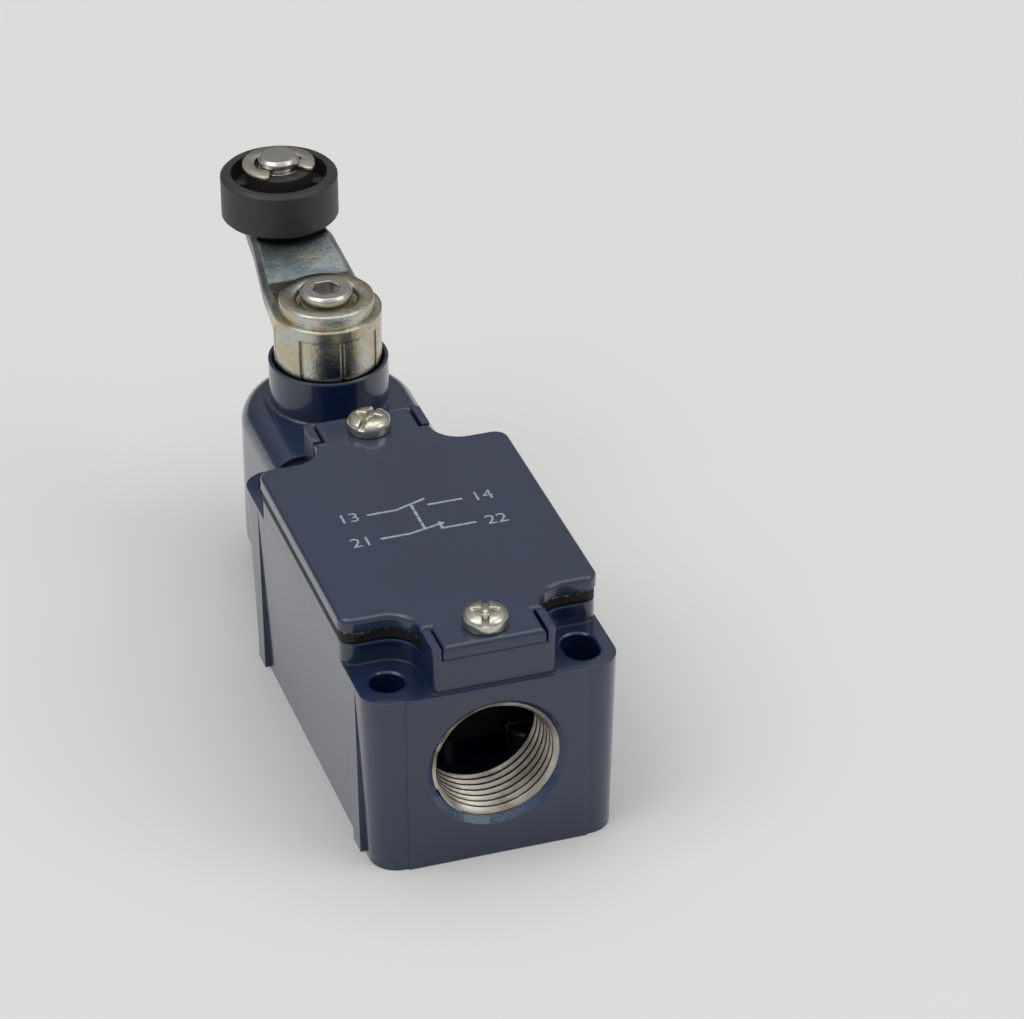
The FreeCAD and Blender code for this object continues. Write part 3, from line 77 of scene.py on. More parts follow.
class Tree:
    """A short way to add and join the nodes of one shader tree."""

    def __init__(self, tree: bpy.types.NodeTree) -> None:
        """Keep the tree that is being built."""
        self.tree = tree

    def add(self, kind: str, settings: dict[str, object] | None = None,
            **inputs: object) -> bpy.types.Node:
        """Add a node, set its properties and fill or join its inputs.

        Args:
            kind: The node's type name.
            settings: Properties of the node itself.
            **inputs: Values or sockets by input name, with _ for a space.

        Returns:
            The new node.
        """
        node = self.tree.nodes.new(kind)
        for name, value in (settings or {}).items():
            setattr(node, name, value)
        for name, value in inputs.items():
            self.feed(node, name.replace("_", " "), value)
        return node

    def feed(self, node: bpy.types.Node, name: str | int, value: object) -> None:
        """Set one input of a node to a value, or join it to a socket."""
        socket = node.inputs[name]
        if isinstance(value, bpy.types.NodeSocket):
            self.tree.links.new(value, socket)
            return
        if socket.type == "RGBA" and len(value) == 3:
            value = (*value, 1.0)
        socket.default_value = value

    def maths(self, operation: str, first: object, second: object = 0.0,
              clamp: bool = False) -> bpy.types.NodeSocket:
        """Join two values by one sum.

        Args:
            operation: The Math node's operation.
            first: Its first value or socket.
            second: Its second value or socket.
            clamp: Whether the result is held between 0 and 1.

        Returns:
            The result's socket.
        """
        node = self.add("ShaderNodeMath", {"operation": operation, "use_clamp": clamp})
        self.feed(node, 0, first)
        self.feed(node, 1, second)
        return node.outputs[0]

    def mix(self, share: object, low: object, high: object) -> bpy.types.NodeSocket:
        """Mix two colours.

        Args:
            share: How much of the second colour is taken.
            low: The first colour.
            high: The second colour.

        Returns:
            The mixed colour's socket.
        """
        node = self.add("ShaderNodeMix", {"data_type": "RGBA"})
        self.feed(node, 0, share)
        self.feed(node, 6, low)
        self.feed(node, 7, high)
        return node.outputs[2]

    def ramp(self, value: object, low: float, high: float) -> bpy.types.NodeSocket:
        """Spread the values from low to high over 0 to 1, smoothly."""
        node = self.add("ShaderNodeMapRange", {"interpolation_type": "SMOOTHSTEP"})
        for name, number in (("Value", value), ("From Min", low), ("From Max", high)):
            self.feed(node, name, number)
        return node.outputs["Result"]

    def place(self, centre: Sequence[float] = (0, 0, 0), scale: Sequence[float] = (1, 1, 1),
              turn: Sequence[float] = (0, 0, 0)) -> bpy.types.NodeSocket:
        """Object coordinates, measured from a centre, turned and scaled."""
        where = self.add("ShaderNodeTexCoord").outputs["Object"]
        shifted = self.add("ShaderNodeVectorMath", {"operation": "SUBTRACT"})
        self.feed(shifted, 0, where)
        self.feed(shifted, 1, centre)
        mapped = self.add("ShaderNodeMapping", Vector=shifted.outputs[0], Scale=scale,
                          Rotation=turn)
        return mapped.outputs[0]

    def distance(self, first: object, second: object) -> bpy.types.NodeSocket:
        """Length of the flat line with these two sides."""
        squares = [self.maths("MULTIPLY", side, side) for side in (first, second)]
        return self.maths("SQRT", self.maths("ADD", *squares))

    def group(self, name: str, **inputs: object) -> bpy.types.Node:
        """Place one of the shared effects."""
        return self.add("ShaderNodeGroup", {"node_tree": bpy.data.node_groups[name]}, **inputs)


def start_group(name: str, inputs: dict[str, tuple[str, object]],
                outputs: dict[str, str]) -> tuple[Tree, bpy.types.Node, bpy.types.Node]:
    """Make an empty shared effect with its sockets.

    Args:
        name: The effect's name.
        inputs: Socket kind and default value by input name.
        outputs: Socket kind by output name.

    Returns:
        The tree, its input node and its output node.
    """
    tree = bpy.data.node_groups.new(name, "ShaderNodeTree")
    for title, (kind, value) in inputs.items():
        socket = tree.interface.new_socket(title, in_out="INPUT", socket_type=kind)
        socket.default_value = value
    for title, kind in outputs.items():
        tree.interface.new_socket(title, in_out="OUTPUT", socket_type=kind)
    return Tree(tree), tree.nodes.new("NodeGroupInput"), tree.nodes.new("NodeGroupOutput")


FLOAT = "NodeSocketFloat"
VECTOR = "NodeSocketVector"


def make_edge_group() -> None:
    """Soft edges: a mask of sharp corners, and a normal rounded over them."""
    build, enter, leave = start_group(
        "SoftEdge", {"Width": (FLOAT, 0.0005), "Low": (FLOAT, 0.02), "High": (FLOAT, 0.3)},
        {"Mask": FLOAT, "Normal": VECTOR})
    bevel = build.add("ShaderNodeBevel", {"samples": 6}, Radius=enter.outputs["Width"])
    shape = build.add("ShaderNodeNewGeometry")
    aligned = build.add("ShaderNodeVectorMath", {"operation": "DOT_PRODUCT"})
    build.feed(aligned, 0, bevel.outputs[0])
    build.feed(aligned, 1, shape.outputs["Normal"])
    away = build.maths("SUBTRACT", 1.0, aligned.outputs["Value"])
    mask = build.ramp(away, enter.outputs["Low"], enter.outputs["High"])
    build.feed(leave, "Mask", mask)
    build.feed(leave, "Normal", bevel.outputs[0])


def make_grain_group() -> None:
    """Fine grain: a height made of two scales of noise, and a slow stain."""
    build, enter, leave = start_group(
        "Grain", {"Where": (VECTOR, (0, 0, 0)), "Fine": (FLOAT, 2000.0), "Coarse": (FLOAT, 300.0),
                  "Stain": (FLOAT, 40.0)},
        {"Height": FLOAT, "Blotch": FLOAT})
    layers = []
    for title, detail in (("Fine", 3.0), ("Coarse", 4.0), ("Stain", 5.0)):
        noise = build.add("ShaderNodeTexNoise", Vector=enter.outputs["Where"],
                          Scale=enter.outputs[title], Detail=detail)
        layers.append(noise.outputs["Fac"])
    height = build.maths("ADD", build.maths("MULTIPLY", layers[0], 0.4),
                         build.maths("MULTIPLY", layers[1], 0.6))
    build.feed(leave, "Height", height)
    build.feed(leave, "Blotch", layers[2])


def start_material(name: str) -> tuple[bpy.types.Material, Tree, bpy.types.Node]:
    """Make an empty material with its surface shader.

    Args:
        name: The material's name.

    Returns:
        The material, its tree and its Principled shader.
    """
    material = bpy.data.materials.new(name)
    material.use_nodes = True
    material.node_tree.nodes.clear()
    build = Tree(material.node_tree)
    shader = build.add("ShaderNodeBsdfPrincipled")
    build.add("ShaderNodeOutputMaterial", Surface=shader.outputs[0])
    return material, build, shader


@dataclass(frozen=True)
class Enamel:
    """Glossy stoved enamel over a casting, thin round the cable entry and bluer along its edges,
    where thin enamel and a painted edge highlight share one colour.
    """

    name: str = "navy_enamel"
    body: Colour = (0.0060, 0.0165, 0.0560)
    deep: Colour = (0.0045, 0.0125, 0.0460)
    # Lighter blue along sharp edges: thin enamel there, and a painted edge highlight.
    edge: Colour = (0.02, 0.065, 0.24)
    thin: Colour = (0.006, 0.03, 0.095)
    speck: Colour = (0.055, 0.115, 0.175)
    edge_width: float = 0.0006
    edge_share: float = 0.45
    roughness: float = 0.3
    peel: float = 0.03
    entry_centre: Point = (0.0, -0.0357, 0.0164)
    entry_reach: tuple[float, float] = (0.0112, 0.0107)
    entry_depth: tuple[float, float] = (0.0017, 0.0012)
    thin_rise: tuple[float, float] = (0.008, -0.004)
    speck_rise: tuple[float, float] = (-0.004, -0.0105)
    speck_scale: float = 4600.0
    coat: float = 0.8
    coat_roughness: float = 0.07

    def make(self) -> bpy.types.Material:
        """Build the material."""
        material, build, shader = start_material(self.name)
        grain = build.group("Grain", Where=build.place(), Fine=2600.0, Coarse=420.0, Stain=45.0)
        edges = build.group("SoftEdge", Width=self.edge_width, Low=0.015, High=0.3)
        tone = build.mix(build.ramp(grain.outputs["Blotch"], 0.35, 0.65), self.deep, self.body)
        # Painted edge highlight, partly thin enamel: the edge mask, broken up by grain, lightens
        # the tone towards the edge colour.
        edge_thinning_and_highlight = build.maths("MULTIPLY", edges.outputs["Mask"],
                             build.ramp(grain.outputs["Height"], 0.35, 0.62))
        tone = build.mix(build.maths("MULTIPLY", edge_thinning_and_highlight, self.edge_share), tone, self.edge)
        mist, specks = self.mist(build)
        tone = build.mix(mist, tone, self.thin)
        build.feed(shader, "Base Color", build.mix(specks, tone, self.speck))
        rough = build.maths("ADD", build.maths("MULTIPLY", grain.outputs["Blotch"], 0.1),
                            self.roughness - 0.05)
        dull = build.maths("MULTIPLY", mist, 0.25)
        build.feed(shader, "Roughness", build.maths("ADD", rough, dull))
        bump = build.add("ShaderNodeBump", Strength=self.peel, Distance=0.0002,
                         Height=grain.outputs["Height"], Normal=edges.outputs["Normal"])
        build.feed(shader, "Normal", bump.outputs[0])
        shader.inputs["Coat Weight"].default_value = self.coat
        shader.inputs["Coat Roughness"].default_value = self.coat_roughness
        return material

    def mist(self, build: Tree) -> tuple[bpy.types.NodeSocket, bpy.types.NodeSocket]:
        """Thin enamel on the entry's bevel.

        Args:
            build: The enamel's tree.

        Returns:
            The share of thin enamel, and of the bare specks low on the bevel.
        """
        parts = build.add("ShaderNodeSeparateXYZ", Vector=build.place(centre=self.entry_centre))
        across, along, up = parts.outputs[0], parts.outputs[1], parts.outputs[2]
        ring = build.ramp(build.distance(across, up), *self.entry_reach)
        bevel = build.maths("MULTIPLY", ring, build.ramp(along, *self.entry_depth))
        speck = build.add("ShaderNodeTexNoise", Vector=build.place(), Scale=self.speck_scale,
                          Detail=2.0)
        grains = build.ramp(speck.outputs["Fac"], 0.44, 0.58)
        lower = build.ramp(build.maths("ADD", up, build.maths("MULTIPLY", across, 0.35)),
                           *self.speck_rise)
        bare = build.maths("MULTIPLY", build.maths("MULTIPLY", bevel, lower), grains)
        return build.maths("MULTIPLY", bevel, build.ramp(up, *self.thin_rise)), bare


@dataclass(frozen=True)
class Foam:
    """Cellular rubber with a smooth skin, torn and pale along its upper cut edge."""

    name: str = "cellular_rubber"
    skin: Colour = (0.0065, 0.006, 0.0055)
    torn: Colour = (0.30, 0.27, 0.21)
    pore_scale: float = 3000.0
    torn_level: tuple[float, float] = (0.03492, 0.03534)

    def make(self) -> bpy.types.Material:
        """Build the material."""
        material, build, shader = start_material(self.name)
        where = build.place()
        grain = build.group("Grain", Where=where, Fine=6500.0, Coarse=2600.0, Stain=420.0)
        pores = build.add("ShaderNodeTexVoronoi", Vector=where, Scale=self.pore_scale)
        pits = build.ramp(pores.outputs["Distance"], 0.1, 0.55)
        level = build.add("ShaderNodeSeparateXYZ", Vector=where).outputs[2]
        wavy = build.maths("ADD", level, build.maths("MULTIPLY", grain.outputs["Blotch"], 0.0006))
        high = build.ramp(wavy, self.torn_level[0] + 0.0003, self.torn_level[1] + 0.0003)
        flecks = build.ramp(grain.outputs["Height"], 0.5, 0.6)
        share = build.maths("MULTIPLY", high, flecks)
        build.feed(shader, "Base Color", build.mix(share, self.skin, self.torn))
        rough = build.maths("ADD", build.maths("MULTIPLY", high, 0.3), 0.55)
        shader.inputs["Specular IOR Level"].default_value = 0.35
        build.feed(shader, "Roughness", rough)
        height = build.maths("ADD", build.maths("MULTIPLY", pits, high),
                             build.maths("MULTIPLY", grain.outputs["Height"], 0.5))
        bump = build.add("ShaderNodeBump", Strength=0.6, Distance=0.0003, Height=height)
        build.feed(shader, "Normal", bump.outputs[0])
        return material


@dataclass(frozen=True)
class Ink:
    """Pale printing ink, a little worn."""

    name: str = "pale_ink"
    body: Colour = (0.36, 0.43, 0.49)
    worn: Colour = (0.22, 0.28, 0.34)

    def make(self) -> bpy.types.Material:
        """Build the material."""
        material, build, shader = start_material(self.name)
        grain = build.group("Grain", Where=build.place(), Fine=6000.0, Coarse=1500.0, Stain=240.0)
        share = build.ramp(grain.outputs["Height"], 0.62, 0.4)
        build.feed(shader, "Base Color", build.mix(share, self.body, self.worn))
        shader.inputs["Roughness"].default_value = 0.42
        return material


@dataclass(frozen=True)
class BareCasting:
    """Bare machined zinc casting, with a gritty cut surface."""

    name: str = "bare_casting"
    base: Colour = (0.56, 0.525, 0.46)
    dull: Colour = (0.2, 0.16, 0.135)

    def make(self) -> bpy.types.Material:
        """Build the material."""
        material, build, shader = start_material(self.name)
        grain = build.group("Grain", Where=build.place(), Fine=5200.0, Coarse=1800.0, Stain=180.0)
        share = build.maths("MULTIPLY", build.ramp(grain.outputs["Blotch"], 0.4, 0.66), 0.7)
        build.feed(shader, "Base Color", build.mix(share, self.base, self.dull))
        shader.inputs["Metallic"].default_value = 1.0
        rough = build.maths("ADD", build.maths("MULTIPLY", grain.outputs["Height"], 0.2), 0.2)
        build.feed(shader, "Roughness", rough)
        bump = build.add("ShaderNodeBump", Strength=0.5, Distance=0.00016,
                         Height=grain.outputs["Height"])
        build.feed(shader, "Normal", bump.outputs[0])
        return material


@dataclass(frozen=True)
class Chromate:
    """Yellow chromated zinc: a pale gold film mottled with rust orange, blue and violet."""

    name: str = "yellow_chromate"
    gold: Colour = (0.60, 0.53, 0.35)
    silver: Colour = (0.58, 0.60, 0.54)
    orange: Colour = (0.48, 0.25, 0.09)
    blue: Colour = (0.16, 0.29, 0.42)
    violet: Colour = (0.20, 0.10, 0.17)
    slate: Colour = (0.08, 0.115, 0.14)
    ash: Colour = (0.25, 0.28, 0.265)
    worn: Colour = (0.72, 0.70, 0.62)
    stains: tuple[tuple[float, float, float], ...] = (
        (430.0, 0.47, 0.62), (1250.0, 0.5, 0.66), (2600.0, 0.5, 0.62), (900.0, 0.52, 0.7),
        (3400.0, 0.52, 0.64))
    hub_centre: Point = (0.0, 0.0515, 0.0)
    hub_reach: tuple[float, float] = (0.0085, 0.0115)
    roughness: float = 0.2

    def make(self) -> bpy.types.Material:
        """Build the material."""
        material, build, shader = start_material(self.name)
        where = build.place()
        grain = build.group("Grain", Where=where, Fine=5200.0, Coarse=1500.0, Stain=230.0)
        spots = [self.patch(build, where, *stain) for stain in self.stains]
        parts = build.add("ShaderNodeSeparateXYZ", Vector=build.place(centre=self.hub_centre))
        right = build.ramp(parts.outputs[0], -0.006, 0.007)
        warm = build.maths("ADD", build.maths("MULTIPLY", right, 0.7), 0.3)
        tone = build.mix(build.ramp(grain.outputs["Blotch"], 0.4, 0.6), self.silver, self.gold)
        broad = build.maths("MULTIPLY", spots[0], warm)
        rust = build.maths("MULTIPLY", broad, build.maths("MULTIPLY", spots[1], 0.8))
        tone = build.mix(build.maths("MULTIPLY", broad, 0.35), tone, self.orange)
        tone = build.mix(rust, tone, self.orange)
        tone = build.mix(build.maths("MULTIPLY", spots[2], 0.42), tone, self.blue)
        tone = build.mix(build.maths("MULTIPLY", build.maths("MULTIPLY", spots[3], spots[4]), 0.8),
                         tone, self.violet)
        tone = build.mix(build.maths("MULTIPLY", build.maths("MULTIPLY", spots[4], warm), 0.3),
                         tone, self.orange)
        arm = self.arm_share(build)
        cool = build.mix(build.ramp(grain.outputs["Blotch"], 0.38, 0.66), self.slate, self.ash)
        cool = build.mix(build.maths("MULTIPLY", spots[2], 0.4), cool, self.ash)
        cool = build.mix(build.maths("MULTIPLY", spots[1], 0.45), cool, self.slate)
        cool = build.mix(build.maths("MULTIPLY", spots[0], 0.22), cool, self.blue)
        cool = build.mix(build.maths("MULTIPLY", spots[4], 0.3), cool, self.gold)
        tone = build.mix(build.maths("MULTIPLY", arm, 0.92), tone, cool)
        edges = build.group("SoftEdge", Width=0.0006, Low=0.05, High=0.5)
        worn = build.maths("MULTIPLY", edges.outputs["Mask"], 0.15)
        build.feed(shader, "Base Color", build.mix(worn, tone, self.worn))
        shader.inputs["Metallic"].default_value = 1.0
        rough = build.maths("ADD", build.maths("MULTIPLY", grain.outputs["Height"], 0.2),
                            self.roughness - 0.1)
        rough = build.maths("ADD", rough, build.maths("MULTIPLY", arm, 0.14))
        build.feed(shader, "Roughness", rough)
        height = build.maths("ADD", grain.outputs["Height"],
                             build.maths("MULTIPLY", grain.outputs["Blotch"], 1.5))
        bump = build.add("ShaderNodeBump", Strength=0.36, Distance=0.0002,
                         Height=height, Normal=edges.outputs["Normal"])
        build.feed(shader, "Normal", bump.outputs[0])
        return material

    def patch(self, build: Tree, where: bpy.types.NodeSocket, scale: float, low: float,
              high: float) -> bpy.types.NodeSocket:
        """Ragged stains of one size."""
        noise = build.add("ShaderNodeTexNoise", Vector=where, Scale=scale, Detail=5.0,
                          Roughness=0.68, Distortion=0.8)
        return build.ramp(noise.outputs["Fac"], low, high)

    def arm_share(self, build: Tree) -> bpy.types.NodeSocket:
        """How far a point lies out on the arm, beyond the hub."""
        parts = build.add("ShaderNodeSeparateXYZ", Vector=build.place(centre=self.hub_centre))
        radius = build.distance(parts.outputs[0], parts.outputs[1])
        return build.ramp(radius, *self.hub_reach)


@dataclass(frozen=True)
class PlatedMetal:
    """Plated or turned metal, with a mottled film and faint scratches."""

    name: str
    base: Colour
    film: Colour
    second_film: Colour
    roughness: float = 0.32
    film_share: float = 0.5
    stain: float = 110.0
    lathe_centre: tuple[float, float] | None = None
    lathe_rings: float = 0.0
    edge: Colour = (0.85, 0.82, 0.74)
    bump: float = 0.12

    def make(self) -> bpy.types.Material:
        """Build the material."""
        material, build, shader = start_material(self.name)
        where = build.place()
        grain = build.group("Grain", Where=where, Fine=3000.0, Coarse=700.0, Stain=self.stain)
        patches = build.add("ShaderNodeTexNoise", Vector=where, Scale=self.stain * 2.3,
                            Detail=6.0, Distortion=1.2)
        first = build.maths("MULTIPLY", build.ramp(grain.outputs["Blotch"], 0.36, 0.62),
                            self.film_share)
        second = build.maths("MULTIPLY", build.ramp(patches.outputs["Fac"], 0.5, 0.72),
                             self.film_share)
        tone = build.mix(second, build.mix(first, self.base, self.film), self.second_film)
        edges = build.group("SoftEdge", Width=0.00035, Low=0.02, High=0.35)
        worn = build.maths("MULTIPLY", edges.outputs["Mask"], 0.55)
        build.feed(shader, "Base Color", build.mix(worn, tone, self.edge))
        shader.inputs["Metallic"].default_value = 1.0
        rough = build.maths("ADD", build.maths("MULTIPLY", grain.outputs["Height"], 0.22),
                            self.roughness - 0.11)
        build.feed(shader, "Roughness", rough)
        height = grain.outputs["Height"]
        if self.lathe_centre is not None:
            height = build.maths("ADD", build.maths("MULTIPLY", height, 0.4), self.rings(build))
        bump = build.add("ShaderNodeBump", Strength=self.bump, Distance=0.0001,
                         Height=height, Normal=edges.outputs["Normal"])
        build.feed(shader, "Normal", bump.outputs[0])
        return material

    def rings(self, build: Tree) -> bpy.types.NodeSocket:
        """Fine turned rings about a vertical axis, from radius and height."""
        centre = (self.lathe_centre[0], self.lathe_centre[1], 0.0)
        parts = build.add("ShaderNodeSeparateXYZ", Vector=build.place(centre=centre))
        radius = build.distance(parts.outputs[0], parts.outputs[1])
        line = build.maths("MULTIPLY", build.maths("ADD", radius, parts.outputs[2]),
                           self.lathe_rings)
        return build.maths("MULTIPLY", build.maths("SINE", line), 0.5)


@dataclass(frozen=True)
class Moulding:
    """Moulded plastic or rubber with a fine grain and rubbed edges."""

    name: str
    body: Colour
    rubbed: Colour
    roughness: float = 0.5
    grain_scale: float = 1500.0
    bump: float = 0.2
    rub: float = 0.35

    def make(self) -> bpy.types.Material:
        """Build the material."""
        material, build, shader = start_material(self.name)
        where = build.place()
        grain = build.group("Grain", Where=where, Fine=self.grain_scale * 2,
                            Coarse=self.grain_scale, Stain=90.0)
        edges = build.group("SoftEdge", Width=0.0004, Low=0.02, High=0.3)
        rubbed = build.maths("MULTIPLY", edges.outputs["Mask"], self.rub)
        stained = build.maths("MULTIPLY", build.ramp(grain.outputs["Blotch"], 0.42, 0.7), 0.3)
        tone = build.mix(build.maths("MAXIMUM", rubbed, stained), self.body, self.rubbed)
        build.feed(shader, "Base Color", tone)
        rough = build.maths("ADD", build.maths("MULTIPLY", grain.outputs["Blotch"], 0.16),
                            self.roughness - 0.08)
        build.feed(shader, "Roughness", rough)
        bump = build.add("ShaderNodeBump", Strength=self.bump, Distance=0.0001,
                         Height=grain.outputs["Height"], Normal=edges.outputs["Normal"])
        build.feed(shader, "Normal", bump.outputs[0])
        return material


PIN_CENTRE = (0.0, 0.0785)

FINISHES: dict[Slot, object] = {
    Slot.ENAMEL: Enamel(),
    Slot.FOAM: Foam(),
    Slot.SCREW: PlatedMetal("zinc_plate", (0.62, 0.61, 0.53), (0.5, 0.47, 0.34), (0.42, 0.46, 0.46),
                            roughness=0.24, film_share=0.6, stain=420.0),
    Slot.CHROMATE: Chromate(),
    Slot.TURNED: PlatedMetal("turned_steel", (0.56, 0.55, 0.52), (0.5, 0.46, 0.4), (0.4, 0.4, 0.41),
                             roughness=0.24, film_share=0.4, stain=240.0,
                             lathe_centre=PIN_CENTRE, lathe_rings=7800.0, bump=0.05),
    Slot.ROLLER: Moulding("roller_moulding", (0.021, 0.020, 0.0185), (0.05, 0.048, 0.045),
                          roughness=0.46),
    Slot.BLOCK: Moulding("block_moulding", (0.02, 0.02, 0.022), (0.05, 0.05, 0.05)),
    Slot.GUIDE: Moulding("grey_moulding", (0.3, 0.31, 0.31), (0.4, 0.41, 0.41)),
    Slot.BRASS: PlatedMetal("rolled_brass", (0.72, 0.54, 0.24), (0.6, 0.4, 0.16), (0.5, 0.4, 0.25)),
    Slot.SPRING: PlatedMetal("spring_steel", (0.42, 0.42, 0.43), (0.34, 0.33, 0.31),
                             (0.3, 0.3, 0.34)),
    Slot.BRONZE: PlatedMetal("sintered_bronze", (0.5, 0.32, 0.15), (0.4, 0.25, 0.12),
                             (0.32, 0.22, 0.14), roughness=0.48),
    Slot.SEAL: Moulding("seal_rubber", (0.012, 0.012, 0.012), (0.03, 0.03, 0.03), roughness=0.6),
}

MADE: dict[Slot, bpy.types.Material] = {}
# Parts inside the housing, which are dressed in painted shade.
INNER_NODES = ("earth_", "terminal_", "clamp_plate_", "block_screw_", "head_screw_")


def dress_nodes() -> None:
    """Give every construction node the finish of its slot, except the parts inside the housing,
    which all take one darker copy of the zinc plate as painted shade.
    """
    MADE.update({slot: finish.make() for slot, finish in FINISHES.items()})
    # Painted shade inside the housing: the zinc plate darkened to about a third and made rougher.
    # Every inner part wears it in place of its own finish.
    inner = PlatedMetal("inner_zinc_painted_shade", (0.2, 0.2, 0.19), (0.14, 0.13, 0.1), (0.12, 0.13, 0.14),
                        roughness=0.5, film_share=0.6, stain=420.0).make()
    for entry in frame["record"]["subparts"]:
        node = frame["nodes"][entry["node"]]
        node.data.materials.clear()
        # The inner parts take the painted-shade copy of the zinc plate.
        dull = entry["node"].startswith(INNER_NODES)
        node.data.materials.append(inner if dull else MADE[Slot(entry["material_slot"])])


def clear_selection() -> None:
    """Deselect every object."""
    bpy.ops.object.select_all(action="DESELECT")


def choose(piece: bpy.types.Object) -> None:
    """Make one piece the only selected and active one."""
    clear_selection()
    piece.select_set(True)
    bpy.context.view_layer.objects.active = piece


def in_metres(point: Sequence[float]) -> Vector:
    """A place given in millimetres, in metres."""
    return Vector(point) * MILLIMETRE


def trace(name: str, points: Sequence[Point], closed: bool = False) -> bpy.types.Object:
    """Draw a line of points in edit mode, drawn out from one point.

    Args:
        name: The piece's name.
        points: The line's places in millimetres.
        closed: Whether the line is closed and filled by one face.

    Returns:
        The new piece, left in edit mode with all of it selected.
    """
    clear_selection()
    bpy.ops.mesh.primitive_plane_add(size=MILLIMETRE, location=(0, 0, 0))
    piece = bpy.context.object
    piece.name = name
    bpy.ops.object.mode_set(mode="EDIT")
    bpy.ops.mesh.select_all(action="SELECT")
    bpy.ops.mesh.merge(type="CENTER")
    bpy.ops.transform.translate(value=in_metres(points[0]))
    for start, end in zip(points, points[1:]):
        step = in_metres(end) - in_metres(start)
        bpy.ops.mesh.extrude_vertices_move(TRANSFORM_OT_translate={"value": step})
    bpy.ops.mesh.select_all(action="SELECT")
    if closed:
        bpy.ops.mesh.edge_face_add()
    return piece


def close_up(piece: bpy.types.Object) -> bpy.types.Object:
    """Merge doubles, turn the faces outwards and leave edit mode."""
    bpy.ops.mesh.select_all(action="SELECT")
    bpy.ops.mesh.remove_doubles(threshold=0.000002)
    bpy.ops.mesh.normals_make_consistent(inside=False)
    bpy.ops.object.mode_set(mode="OBJECT")
    return piece


def lathe(name: str, profile: Sequence[tuple[float, float]], centre: Sequence[float],
          steps: int = 96) -> bpy.types.Object:
    """Turn a profile about an upright axis.

    Args:
        name: The piece's name.
        profile: Radius and height of each point, in millimetres.
        centre: The axis's x and y in millimetres.
        steps: Sides of the turned shape.

    Returns:
        The closed piece.
    """
    piece = trace(name, [(centre[0] + radius, centre[1], height) for radius, height in profile])
    bpy.ops.mesh.spin(steps=steps, angle=math.tau, center=in_metres((*centre, 0.0)), axis=(0, 0, 1))
    return close_up(piece)


def plate(name: str, outline: Sequence[Sequence[float]], bottom: float, height: float,
          taper: float = 1.0) -> bpy.types.Object:
    """Raise a flat outline to a solid plate.

    Args:
        name: The piece's name.
        outline: x and y of each corner in millimetres.
        bottom: Height of its lower face in millimetres.
        height: Its thickness in millimetres, downwards where negative.
        taper: Size of the far face against the first.

    Returns:
        The closed piece.
    """
    piece = trace(name, [(x, y, bottom) for x, y in outline], closed=True)
    bpy.ops.mesh.extrude_region_move(TRANSFORM_OT_translate={"value": in_metres((0, 0, height))})
    if taper != 1.0:
        bpy.ops.transform.resize(value=(taper, taper, 1.0))
    return close_up(piece)


def apply_modifier(piece: bpy.types.Object, kind: str, settings: dict[str, object]) -> None:
    """Add one modifier with its settings and apply it."""
    choose(piece)
    modifier = piece.modifiers.new(kind.lower(), kind)
    for name, value in settings.items():
        setattr(modifier, name, value)
    bpy.ops.object.modifier_apply(modifier=modifier.name)


def carve(piece: bpy.types.Object, cutter: bpy.types.Object) -> None:
    """Take the cutter's shape out of a piece, and throw the cutter away."""
    apply_modifier(piece, "BOOLEAN", {"operation": "DIFFERENCE", "object": cutter,
                                      "solver": "EXACT"})
    bpy.data.objects.remove(cutter, do_unlink=True)


def soften(piece: bpy.types.Object, width: float, segments: int = 3,
           angle: float = 35.0) -> None:
    """Round a piece's sharp edges by a width in millimetres."""
    apply_modifier(piece, "BEVEL", {"width": width * MILLIMETRE, "segments": segments,
                                    "limit_method": "ANGLE", "angle_limit": math.radians(angle),
                                    "use_clamp_overlap": True})


def fit_out(piece: bpy.types.Object, body: str, slot: Slot,
            material: bpy.types.Material | None = None, smooth: float = 32.0) -> None:
    """Smooth a finished piece, dress it and put it on its body.

    Args:
        piece: The finished piece.
        body: The construction body that carries it.
        slot: The record's slot that its finish follows.
        material: Its own material, where it isn't the slot's.
        smooth: Largest angle in degrees that is shaded smoothly.
    """
    choose(piece)
    bpy.ops.object.transform_apply(location=True, rotation=True, scale=True)
    bpy.ops.object.shade_smooth_by_angle(angle=math.radians(smooth))
    piece.data.materials.clear()
    piece.data.materials.append(material or MADE[slot])
    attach(piece, body)
    LOG.info("%s: %d faces", piece.name, len(piece.data.polygons))


def turned_points(points: Sequence[Sequence[float]], angle: float,
                  centre: Sequence[float]) -> list[tuple[float, float]]:
    """Turn flat points clockwise by degrees about zero, then move them to a centre."""
    turn = math.radians(angle)
    return [(centre[0] + x * math.cos(turn) + y * math.sin(turn),
             centre[1] - x * math.sin(turn) + y * math.cos(turn)) for x, y in points]


